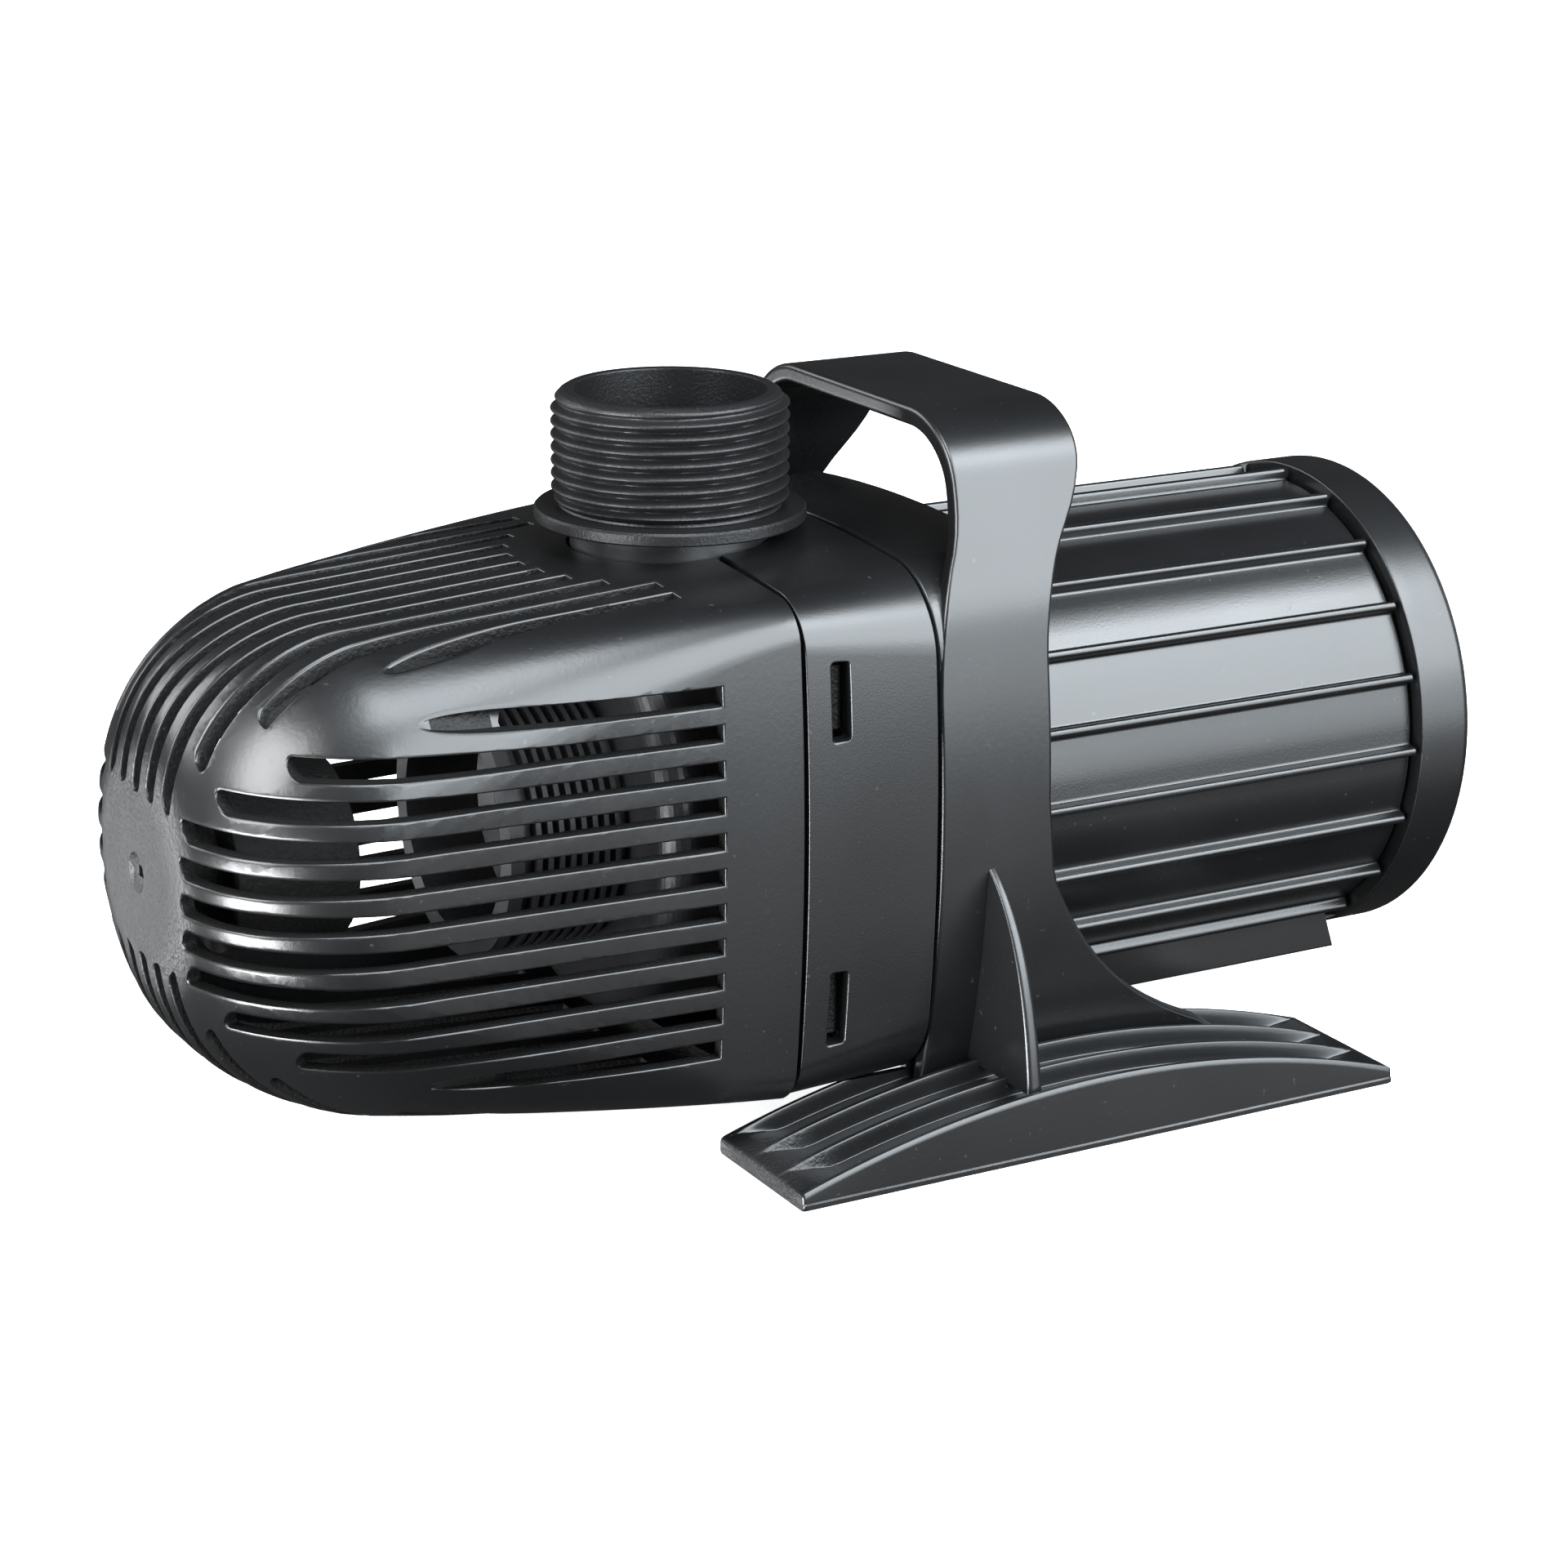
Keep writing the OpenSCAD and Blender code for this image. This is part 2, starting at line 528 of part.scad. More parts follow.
// ---- cable entry at the centre of the end cap ----
module gland_body() color(matte) from_outlet() difference() {
    union() {
        rod_x(6, cap_end - 8, cap_end + 1);
        rod_x(10.4, cap_end, cap_end + 3.5, $fn = 6);
        rod_x(7.4, cap_end + 3, cap_end + 8);
    }
    rod_x(4.6, cap_end - 9, cap_end + 9);
    rod_x(6, cap_end + 4.2, cap_end + 9);
}
module gland_nut() color(matte) from_outlet() difference() {
    union() {
        rod_x(9.8, cap_end + 3.8, cap_end + 9.5);
        turned_x([[0, cap_end + 9], [9.8, cap_end + 9], [9.4, cap_end + 11], [7, cap_end + gland_length],
            [0, cap_end + gland_length]]);
    }
    rod_x(7.5, cap_end + 3, cap_end + 8.2);
    rod_x(6, cap_end + 8, cap_end + 11.6);
    rod_x(4.6, cap_end + 11, cap_end + gland_length + cut);
}
module cable_seal() color(rubber) from_outlet() tube_x(5.9, 4, cap_end + 4.3, cap_end + 11.5);

strainer_cage();
strainer_ring();
stand_bracket();
bracket_screws();
motor_housing();
motor_end_cap();
end_cap_seal();
outlet_adapter();
outlet_seal();
volute_body();
volute_cover();
volute_screws();
volute_seal();
intake_sleeve();
impeller();
rotor_magnet();
front_rotor_bush();
rear_rotor_bush();
rotor_shaft();
front_shaft_cup();
rear_shaft_cup();
thrust_washers();
rotor_can();
motor_seal();
stator_core();
stator_coils();
potting_ring();
gland_body();
gland_nut();
cable_seal();
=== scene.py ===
"""Fountain submersible pump: the visible shells, bracket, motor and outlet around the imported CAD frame.

Shapes are written in millimetres about the crossing of the pump axis with the outlet axis, as (x along
the pump, y across, z up), and make_object() moves them into the shared frame in metres.
"""
import json
import math
import bpy
import bmesh
import numpy as np
from mathutils import Matrix, Vector
from mathutils.bvhtree import BVHTree


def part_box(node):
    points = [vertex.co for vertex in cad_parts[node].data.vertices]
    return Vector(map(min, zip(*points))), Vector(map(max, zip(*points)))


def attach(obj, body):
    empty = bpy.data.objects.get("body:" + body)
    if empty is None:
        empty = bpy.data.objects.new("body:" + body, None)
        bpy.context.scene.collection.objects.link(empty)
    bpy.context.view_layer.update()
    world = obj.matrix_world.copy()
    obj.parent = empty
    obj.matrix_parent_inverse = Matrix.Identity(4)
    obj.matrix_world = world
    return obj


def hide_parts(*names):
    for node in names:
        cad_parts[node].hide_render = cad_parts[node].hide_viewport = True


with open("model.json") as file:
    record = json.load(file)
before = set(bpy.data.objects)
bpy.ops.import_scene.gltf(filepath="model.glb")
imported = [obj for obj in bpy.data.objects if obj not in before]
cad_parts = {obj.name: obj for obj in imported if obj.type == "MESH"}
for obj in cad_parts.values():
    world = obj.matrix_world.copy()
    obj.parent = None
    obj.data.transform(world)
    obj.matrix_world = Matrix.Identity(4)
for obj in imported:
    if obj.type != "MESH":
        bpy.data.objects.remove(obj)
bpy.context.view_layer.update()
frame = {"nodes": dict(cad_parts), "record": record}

MM = 0.001


def box_mm(node):
    low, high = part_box(node)
    return np.array(low) / MM, np.array(high) / MM


outlet_low, outlet_high = box_mm("outlet_adapter")
cap_low, cap_high = box_mm("motor_end_cap")
ORIGIN = np.array([(outlet_low[0] + outlet_high[0]) / 2, 0.0, (cap_low[2] + cap_high[2]) / 2])
FLOOR_Z = -ORIGIN[2]

# ---------------------------------------------------------------- sizes
# W and H are half sizes across and up, R is a radius.
# Cage: it tapers forwards from its rear edge, SEAM in front of x = 0, and the nose closes it.
SEAM = 0.4
CAGE_LENGTH = 101.3
CAGE_W, CAGE_H = 49.9, 47.0
CAGE_WALL = 2.6
NOSE_START = 70.0
TAPER = 0.00137
NOSE_OUT, NOSE_IN = 1.53, 0.268
TIP_SHARE = 0.993
CAGE_TIP = -SEAM - CAGE_LENGTH * TIP_SHARE
REAR_CORNER_R = 6
SKIRT_END, SKIRT_INNER_END = 12.0, -6
TIP_DISH = [(0.01, -1), (3.9, -1), (3.5, 0), (3.1, 0.4), (2.2, 0.75), (1.1, 0.9), (0.01, 0.95)]
PIN_HALF, PIN_DEPTH = 1.0, 3.2
STEM_FRONT, STEM_R = -99.4, 8
CUP_FRONT, CUP_REAR, CUP_R = -89.0, -67.0, 16.0
NECK_HOLE_R, NECK_HOLE_Z0, NECK_HOLE_Z1 = 18.4, 30, 60

# Slots, numbered k from the middle of each face. FLOOR is how high the face stands at their front ends.
SLOT_W, SLOT_PITCH = 2.8, 6.24
LAST_SLOT = 5
SLOT_REAR = 15.2
OUTLET_CLEAR_R = 29.0
SLOT_FLOOR = (14.2, 14.2, 14.2, 23.0, 31.0, 37.6)
SIDE_SLOT_FLOOR = (18.5, 18.5, 18.5, 25.0, 33.0, 39.0)
SLOT_OVERCUT = 1.4
SCOOP_LENGTH, SCOOP_SETBACK, SCOOP_WIDTH = 20.0, 3, 1.15
WIDEN_FROM, WIDEN_LENGTH, WIDEN_BY = 44, 26, 0.35
FLARE_LENGTH, FLARE_BY = 25, 1.2
BLIND_DEPTH, BLIND_SLOPE = 1.5, 0.14
LIP = np.array([(0.5, -1.6), (0.4, -0.02), (0.19, 0.05), (0.06, 0.17), (0.0, 0.4), (0.0, 9.0)])

# Clip ring, with its windows, and the cage's snap tabs that show in them.
RING_W, RING_H, RING_WALL, RING_END = 49.9, 47.4, 3.0, 27.0
SKIRT_OUTSIDE, SKIRT_INSIDE = RING_WALL + 0.4, RING_WALL + 2.2
WINDOW_X, WINDOW_Z = 7.2, 27.5
WINDOW_W, WINDOW_H = 3.5, 13.5
POCKET_X, POCKET_Y, POCKET_H = (4.6, 10.6), (40, 48), 7.4
TAB = [(3.4, 42.6), (9.6, 43.4), (9.6, 44.4), (8.2, 45.2), (3.4, 43.9)]
TAB_H = 5.6

# Bracket.
SIDE_Y, BLOCK_H, BLOCK_WALL = 48.8, 48.2, 3.4
BLOCK_START, BLOCK_END = RING_END + SEAM + 0.1, 50.0
BLOCK_REAR, BLOCK_STEP = BLOCK_END - 0.3, BLOCK_END - 4
RELIEF_GAP = 0.35
COLUMN_ARC_R = 210.0
BAND, BAND_BOTTOM = 3.5, -49.0
HANDLE_Z, SHOULDER_Z, SHOULDER_BEND = 70.3, 39.0, 6
FOOT_X0, FOOT_X1 = -9.8, 114.4
FOOT_Y0, FOOT_Y1 = 37.0, 67.1
FOOT_TOP, FOOT_EDGE = 13.0, 3.0
FOOT_RIDGES, FOOT_RIDGE_INSET = 4, 1.1
FOOT_VALLEY, FOOT_FADE_START, FOOT_FADE = 3.4, 2.0, 9.0
FIN_X, FIN_TOP, FIN_HEIGHT, FIN_HALF = 38, -5.5, 38, 0.75
SCREW_CIRCLE_R = 47.5

# Motor and end cap.
MOTOR_R, RIB_R = 43.0, 45.2
MOTOR_GAP, MOTOR_WALL = 0.25, 3
RIB_COUNT, RIB_HALF = 20, 1.5
MOTOR_START, MOTOR_END = 31, 133.5
RAIL_Y, RAIL_Z, RAIL_W, RAIL_H = 21, -40.5, 1.5, 5.2
CAP_R, CAP_START, CAP_END = 45.7, 134.3, 146.0
CAP_EDGE, CAP_SPIGOT, CAP_PLATE = 2.2, 8, 5

# Outlet.
COLLAR_Z, COLLAR_TOP = outlet_low[2] + 8 - ORIGIN[2], outlet_low[2] + 10.3 - ORIGIN[2]
OUTLET_TOP = outlet_high[2] - ORIGIN[2]
NECK_LENGTH, NECK_R, BORE_R, NECK_BORE_R = 8, 15.5, 17.0, 13.2
COLLAR_R = 24.0
THREAD_R, THREAD_PITCH, THREAD_DEPTH = 20.955, 2.309, 1.45


# ---------------------------------------------------------------- mesh helpers
def grid_faces(rings, points):
    """Quads between neighbouring closed rings of the same number of points."""
    i, j = np.meshgrid(np.arange(rings - 1), np.arange(points), indexing="ij")
    k = (j + 1) % points
    quads = np.stack([i * points + j, i * points + k, (i + 1) * points + k, (i + 1) * points + j], -1)
    return quads.reshape(-1, 4).tolist()


def make_object(name, verts, faces):
    mesh = bpy.data.meshes.new(name)
    mesh.from_pydata((np.asarray(verts, float) + ORIGIN) * MM, [], faces)
    mesh.validate()
    obj = bpy.data.objects.new(name, mesh)
    bpy.context.scene.collection.objects.link(obj)
    bm = bmesh.new()
    bm.from_mesh(mesh)
    bmesh.ops.recalc_face_normals(bm, faces=bm.faces)
    bm.to_mesh(mesh)
    bm.free()
    return obj


def loft(name, rings, ends="cap"):
    """Closed solid through rings: 'cap' closes the ends with fans, 'loop' joins the last to the first."""
    rings = np.asarray(rings, float)
    count, points = rings.shape[:2]
    verts = rings.reshape(-1, 3)
    faces = grid_faces(count, points)
    last = (count - 1) * points
    if ends == "loop":
        faces += [[last + j, last + (j + 1) % points, (j + 1) % points, j] for j in range(points)]
    else:
        verts = np.vstack([verts, rings[0].mean(0), rings[-1].mean(0)])
        base, tip = count * points, count * points + 1
        faces += [[base, (j + 1) % points, j] for j in range(points)]
        faces += [[tip, last + j, last + (j + 1) % points] for j in range(points)]
    return make_object(name, verts, faces)


def lathe(name, profile, axis="x", steps=128, loop=True):
    """Turns (radius, distance) points about the pump axis or the outlet axis."""
    profile = np.asarray(profile, float)
    angle = np.linspace(0, 2 * math.pi, steps, endpoint=False)
    rings = []
    for radius, along in profile:
        ring = np.zeros((steps, 3))
        a, b, c = (0, 1, 2) if axis == "x" else (2, 0, 1)
        ring[:, a] = along
        ring[:, b] = radius * np.cos(angle)
        ring[:, c] = radius * np.sin(angle)
        rings.append(ring)
    return loft(name, rings, "loop" if loop else "cap")


def bar(name, low, high):
    """Plain block used only as a cutter."""
    x, y, z = zip(low, high)
    ring = [(y[0], z[0]), (y[1], z[0]), (y[1], z[1]), (y[0], z[1])]
    return loft(name, [[(a, *p) for p in ring] for a in x], "cap")


def cylinder_up(name, r, z0, z1, steps=96):
    return lathe(name, [(r, z0), (r, z1)], "z", steps, loop=False)


def evaluated(obj):
    """Applies the object's modifiers."""
    depsgraph = bpy.context.evaluated_depsgraph_get()
    mesh = bpy.data.meshes.new_from_object(obj.evaluated_get(depsgraph))
    old = obj.data
    obj.modifiers.clear()
    obj.data = mesh
    bpy.data.meshes.remove(old)
    return obj


def boolean(obj, others, operation="DIFFERENCE"):
    """Cuts away or joins the other objects, which are used up."""
    for other in others:
        mod = obj.modifiers.new("join", "BOOLEAN")
        mod.operation = operation
        mod.solver = "MANIFOLD"
        mod.object = other
    evaluated(obj)
    for other in others:
        bpy.data.objects.remove(other)
    return obj


def joined(objects, name="group"):
    """One mesh object that holds several separate solids."""
    bm = bmesh.new()
    for obj in objects:
        bm.from_mesh(obj.data)
        bpy.data.objects.remove(obj)
    mesh = bpy.data.meshes.new(name)
    bm.to_mesh(mesh)
    bm.free()
    obj = bpy.data.objects.new(name, mesh)
    bpy.context.scene.collection.objects.link(obj)
    return obj


def smooth(obj, angle=38):
    """Smooth shading that keeps edges sharper than the angle, with normals led by the large faces."""
    mesh = obj.data
    mesh.shade_smooth()
    mesh.set_sharp_from_angle(angle=math.radians(angle))
    mod = obj.modifiers.new("normals", "WEIGHTED_NORMAL")
    mod.keep_sharp = True
    mod.weight = 80
    return evaluated(obj)


def grain_and_shade_inside(obj, outer, material):
    """Gives the faces that lie off the outer surface, such as the slots' walls, a second material: a
    coarser grain, and a duller, darker finish that is painted shade on those walls.
    """
    skin = BVHTree.FromObject(outer, bpy.context.evaluated_depsgraph_get())
    bpy.data.objects.remove(outer)
    obj.data.materials.append(material)
    for face in obj.data.polygons:
        if skin.find_nearest(face.center)[3] > 0.3 * MM:
            face.material_index = 1


def finish_piece(obj, body, material, node):
    """Shades a shell, gives it its material and puts it in the CAD node's place."""
    smooth(obj)
    if obj.data.materials:
        obj.data.materials[0] = material
    else:
        obj.data.materials.append(material)
    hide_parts(node)
    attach(obj, body)


# ---------------------------------------------------------------- outlines
def ramp(value, length):
    """0 up to value 0, then rising evenly to 1 at length."""
    return min(1.0, max(0.0, value / length))


def section(w, h, r, bulge, corner=14, flat=12):
    """Rounded rectangle with half sizes w and h across and up, whose sides bulge out by bulge."""
    bw, bh = w - bulge, h - bulge
    r = min(r, bw * 0.985, bh * 0.985)
    arcs = []
    for k in range(4):
        a = np.radians(90 * k + np.linspace(0, 90, corner + 1))
        cx = (bw - r) * (1 if k in (0, 3) else -1)
        cy = (bh - r) * (1 if k < 2 else -1)
        arcs.append(np.stack([cx + r * np.cos(a), cy + r * np.sin(a)], -1))
    points = []
    for k in range(4):
        start, end = arcs[k][-1], arcs[(k + 1) % 4][0]
        t = np.linspace(0, 1, flat + 1)[1:-1, None]
        points += [arcs[k], start + (end - start) * t]
    p = np.vstack(points)
    return np.stack([p[:, 0] * (1 + bulge / bw * (1 - (p[:, 1] / bh) ** 2)),
                     p[:, 1] * (1 + bulge / bh * (1 - (p[:, 0] / bw) ** 2))], -1)


def at_x(outline, x):
    """Stands a flat (across, up) outline at x."""
    return np.column_stack([np.full(len(outline), x), outline])


def rounded(corners, steps=8):
    """Open path through (x, y, radius) corners, with each corner turned on an arc of its radius."""
    path = [np.array(corners[0][:2], float)]
    for before, corner, after in zip(corners, corners[1:], corners[2:]):
        b = np.array(corner[:2], float)
        u = np.array(before[:2], float) - b
        v = np.array(after[:2], float) - b
        u, v = u / np.linalg.norm(u), v / np.linalg.norm(v)
        half = math.acos(np.clip(u @ v, -1, 1)) / 2
        r = corner[2]
        if r == 0:
            path.append(b)
            continue
        centre = b + (u + v) / np.linalg.norm(u + v) * r / math.sin(half)
        first = b + u * r / math.tan(half) - centre
        last = b + v * r / math.tan(half) - centre
        way = 1 if first[0] * last[1] - first[1] * last[0] > 0 else -1
        for t in np.linspace(0, way * (math.pi - 2 * half), steps + 1):
            path.append(centre + [first[0] * math.cos(t) - first[1] * math.sin(t),
                                  first[0] * math.sin(t) + first[1] * math.cos(t)])
    path.append(np.array(corners[-1][:2], float))
    return np.array(path)


def bezier(a, b, c, n=14):
    """Curve from a to c that leaves and arrives along the lines to b."""
    t = np.linspace(0, 1, n + 1)[:, None]
    a, b, c = map(np.array, (a, b, c))
    return a * (1 - t) ** 2 + b * 2 * t * (1 - t) + c * t ** 2


def edge_stations(x0, x1, r=0.5, middle=7):
    """(x, inset) pairs that round both rims of a sleeve."""
    turn = np.radians([0, 30, 60, 90])
    front = [(x0 + r * (1 - math.sin(a)), r * (1 - math.cos(a))) for a in turn[::-1]]
    rear = [(x1 - x + x0, inset) for x, inset in front[::-1]]
    return front + [(x, 0.0) for x in np.linspace(x0 + r, x1 - r, middle)[1:-1]] + rear


# ---------------------------------------------------------------- strainer cage
def cage_profile():
    """Places u in front of the rear edge and shares of the rear size, spaced evenly along the outline."""
    u = np.linspace(0, NOSE_START, 200)
    full = 1 - TAPER * u
    edge = full[-1]
    s = edge * np.cos(np.linspace(0, math.pi / 2, 500)[1:]) ** 0.5
    nose = NOSE_START + (CAGE_LENGTH - NOSE_START) * (1 - (s / edge) ** (1 / NOSE_IN)) ** (1 / NOSE_OUT)
    u, s = np.concatenate([u, nose]), np.concatenate([full, s])
    length = np.concatenate([[0], np.cumsum(np.hypot(np.diff(u), np.diff(s) * CAGE_H))])
    return u, np.clip(s, 1e-4, 1), length


CAGE_U, CAGE_S, CAGE_Q = cage_profile()


def cage_outline(q, inset=0.0, **steps):
    """The cage's section, and its x, at length q along the outline from the rear edge."""
    u, s = np.interp(q, CAGE_Q, CAGE_U), np.interp(q, CAGE_Q, CAGE_S)
    w, h = CAGE_W * s - inset, CAGE_H * s - inset
    r = min(h * 0.97, REAR_CORNER_R + (h - REAR_CORNER_R) * (u / CAGE_LENGTH) ** 1.5)
    return section(w, h, r, max(0.0, 3 * (h - r) / CAGE_H), **steps), -SEAM - u * TIP_SHARE


def cage_normals(rings):
    """Outward normals of a surface given as rings."""
    along = np.gradient(rings, axis=0)
    around = np.roll(rings, -1, 1) - np.roll(rings, 1, 1)
    n = np.cross(around, along)
    n /= np.linalg.norm(n, axis=-1, keepdims=True) + 1e-12
    out = (n[..., 1:] * rings[..., 1:]).sum(-1).mean() > 0
    return n if out else -n


def cage_shell():
    """The cage without its slots: outside, rounded rim, skirt inside the clip ring, inside."""
    steps = dict(corner=16, flat=16)
    end = CAGE_Q[-1]
    qs = np.concatenate([np.linspace(0.5, end - 52, 24), np.linspace(end - 50, end - 0.6, 44)])
    outer = np.array([at_x(o, x) for o, x in (cage_outline(q, **steps) for q in qs)])
    inner = outer - cage_normals(outer) * CAGE_WALL
    inner = inner[inner[:, 0, 0] < SKIRT_INNER_END - 0.5]

    def rim(inset, x):
        return at_x(cage_outline(0, inset, **steps)[0], x)

    def skirt(inset, x):
        return at_x(section(RING_W - inset, RING_H - inset, 6, 3, **steps), x)

    rings = [outer[::-1], [rim(0.14, -SEAM - 0.14), rim(0.5, -SEAM)],
             [skirt(SKIRT_OUTSIDE, x) for x in (-SEAM, SKIRT_END)],
             [skirt(SKIRT_INSIDE, x) for x in (SKIRT_END, SKIRT_INNER_END)],
             [at_x(cage_outline(4, CAGE_WALL, **steps)[0], SKIRT_INNER_END - 0.2)], inner]
    return loft("strainer_shell", np.concatenate([np.asarray(r) for r in rings]), "cap")


def face_height(q, lateral, top):
    """Height of the cage's surface above its axis plane, at lateral places across one face."""
    outline, x = cage_outline(q, corner=20, flat=8)
    across, up = (outline[:, 0], outline[:, 1]) if top else (outline[:, 1], outline[:, 0])
    keep = up > 0
    order = np.argsort(across[keep])
    return np.interp(lateral, across[keep][order], up[keep][order]), x


def slot_shape(k, top, q, q_start, q_end, tail):
    """Half width, lips and depth of slot k at q. The last slots are scoops that run out to nothing."""
    half, lips, reach = SLOT_W / 2, LIP.copy(), CAGE_WALL + SLOT_OVERCUT
    run = max(0.0, (q - q_end + tail) / tail)
    if abs(k) == LAST_SLOT:
        half *= SCOOP_WIDTH * max(0.1, (1 - run ** 3) ** 0.6)
        reach *= max(0.02, 1 - run ** 1.2)
        lips[:, 0] *= 1 + 2.5 * min(1, 2.5 * run) * (1 - run) ** 0.5
        return half, lips, reach
    widen = ramp(q - q_end + WIDEN_FROM, WIDEN_LENGTH)
    if top:
        widen *= 0.4 if abs(k) <= 2 else 0.0
    if top and abs(k) in (3, 4):
        lips[:-1] *= 1 + FLARE_BY * ramp(q - q_start, FLARE_LENGTH)
    if top and abs(k) == 4:
        reach = min(reach, BLIND_DEPTH + BLIND_SLOPE * (q_end - q))
    half = (half + WIDEN_BY * widen) * math.sqrt(max(0.02, 1 - run ** 2))
    lips[:, 0] *= 1 + 0.9 * widen
    return half, lips, reach


def slot_ring(k, top, up_sign, q, lean, half, lips, reach):
    """The slot's empty space across at q. The rings at its ends lean out by lean times their lips."""
    t = k * SLOT_PITCH
    h0, x0 = face_height(q - 0.2, t, top)
    h1, x1 = face_height(q + 0.2, t, top)
    slope = np.array([h1 - h0, -(x1 - x0)])
    nx, nu = -abs(slope[0]) / np.hypot(*slope), abs(slope[1]) / np.hypot(*slope)
    offsets, depth = lips[:, 0], np.minimum(lips[:, 1], reach)
    walls = []
    for side in (-1, 1):
        lateral = t + side * (half + offsets)
        height, x = face_height(q, lateral, top)
        wall = np.column_stack([x - depth * nx - lean * offsets * nu, lateral, height - depth * nu])
        walls.append(wall if side < 0 else wall[::-1])
    x, across, up = np.vstack(walls).T
    return np.column_stack([x, across, up_sign * up] if top else [x, up_sign * up, across])


def slot_cutter(k, top, up_sign):
    """A slot's empty space: it follows the cage's surface and flares out where it meets it."""
    t = k * SLOT_PITCH
    end_height = (SLOT_FLOOR if top else SIDE_SLOT_FLOOR)[abs(k)]
    samples = np.linspace(1, CAGE_Q[-1] - 1, 260)
    heights = np.array([face_height(q, t, top)[0] for q in samples])
    q_end = np.interp(-end_height, -heights, samples)
    start = SLOT_REAR
    if top and up_sign > 0 and abs(k) <= 3:
        start = math.sqrt(OUTLET_CLEAR_R ** 2 - t * t)
    q_start = np.interp(start - SEAM, CAGE_U * TIP_SHARE, CAGE_Q)
    tail, steps = SLOT_W / 2, 8
    if abs(k) == LAST_SLOT:
        q_end -= SCOOP_SETBACK
        tail, steps = SCOOP_LENGTH, 16
    near_end = q_end - tail * (1 - np.sin(np.linspace(0, math.pi / 2, steps)))
    qs = np.concatenate([np.linspace(q_start, q_end - tail, 44)[:-1], near_end])
    leans = [-1.0] + [0.0] * (len(qs) - 2) + [0.6]
    rings = np.array([slot_ring(k, top, up_sign, q, lean, *slot_shape(k, top, q, q_start, q_end, tail))
                      for q, lean in zip(qs, leans)])
    count, points = rings.shape[:2]
    faces = grid_faces(count, points)
    last = (count - 1) * points
    for j in range(points // 2 - 1):
        pair = [j, j + 1, points - 2 - j, points - 1 - j]
        faces.append(pair[::-1])
        faces.append([last + v for v in pair])
    return make_object("slot", rings.reshape(-1, 3), faces)


def nose_cup():
    """Cup on a stem inside the nose."""
    profile = [(0, STEM_FRONT), (STEM_R, STEM_FRONT), (STEM_R, CUP_FRONT - 0.6), (STEM_R + 0.6, CUP_FRONT),
               (CUP_R - 1, CUP_FRONT), (CUP_R - 0.3, CUP_FRONT + 0.3), (CUP_R, CUP_FRONT + 1),
               (CUP_R, CUP_REAR - 0.4), (CUP_R - 0.4, CUP_REAR), (CUP_R - 1.4, CUP_REAR),
               (CUP_R - 1.8, CUP_REAR - 0.4), (CUP_R - 1.8, CUP_FRONT + 3), (CUP_R - 2.8, CUP_FRONT + 2),
               (0, CUP_FRONT + 2)]
    return lathe("nose_cup", profile, "x", 72, loop=False)


def nose_dish():
    """Cutter for the shallow dimple in the tip of the nose."""
    return lathe("dimple", [(r, CAGE_TIP + depth) for r, depth in TIP_DISH], "x", 48, loop=False)


def neck_cutter(name):
    return cylinder_up(name, NECK_HOLE_R, NECK_HOLE_Z0, NECK_HOLE_Z1)


def strainer_cage():
    shell = cage_shell()
    skin = cage_shell()
    numbers = range(-LAST_SLOT, LAST_SLOT + 1)
    cutters = [slot_cutter(k, top, sign) for k in numbers for top in (True, False) for sign in (1, -1)]
    boolean(shell, [joined(cutters, "slots")])
    boolean(skin, [nose_dish()])
    notch_rear = bar("notch_rear", (0, -NECK_HOLE_R, NECK_HOLE_Z0),
                     (SKIRT_END + 2, NECK_HOLE_R, NECK_HOLE_Z1))
    boolean(shell, [nose_dish(), neck_cutter("notch"), notch_rear])
    pockets, tabs = [], []
    for side in (-1, 1):
        y0, y1 = sorted(side * y for y in POCKET_Y)
        for z in (-WINDOW_Z, WINDOW_Z):
            pockets.append(bar("pocket", (POCKET_X[0], y0, z - POCKET_H), (POCKET_X[1], y1, z + POCKET_H)))
            ends = [[(x, side * y, z + dz) for x, y in TAB] for dz in (-TAB_H, TAB_H)]
            tabs.append(loft("tab", ends, "cap"))
    boolean(shell, [joined(pockets, "pockets")])
    boolean(shell, [joined(tabs, "tabs"), nose_cup()], "UNION")
    boolean(shell, [bar("pin_hole", (CAGE_TIP - 1, -PIN_HALF, -PIN_HALF),
                        (CAGE_TIP + PIN_DEPTH, PIN_HALF, PIN_HALF))])
    shell.data.materials.clear()
    shell.data.materials.append(None)
    # The slots' walls and the inside get cage_inside: real coarser grain, plus painted shade from its weak
    # reflection.
    grain_and_shade_inside(shell, skin, MATERIALS["cage_inside"])
    return shell


# ---------------------------------------------------------------- clip ring
def ring_outline(x, inset=0.0):
    """The ring's section changes from the cage's at its front edge to the bracket's at its rear edge."""
    t = x / RING_END
    return section(RING_W - 1.1 * t - inset, RING_H + 0.7 * t - inset, 8 + 4.5 * t - inset * 0.5, 3, 16, 16)


def window_cutter(side, z):
    """A clip window's empty space, which flares out where it meets the ring's surface."""
    surface = ring_outline(WINDOW_X)
    right = surface[surface[:, 0] > 0]
    order = np.argsort(right[:, 1])
    rings = []
    for depth, grow in ((9, 0), (0.5, 0), (0.2, 0.06), (0.06, 0.18), (-0.02, 0.42), (-2, 0.5)):
        outline = section(WINDOW_W / 2 + grow, WINDOW_H / 2 + grow, 0.6 + grow, 0, 4, 3)
        outline = outline + [WINDOW_X, z]
        y = np.interp(outline[:, 1], right[order, 1], right[order, 0]) - depth
        rings.append(np.column_stack([outline[:, 0], side * y, outline[:, 1]]))
    return loft("window", rings, "cap")


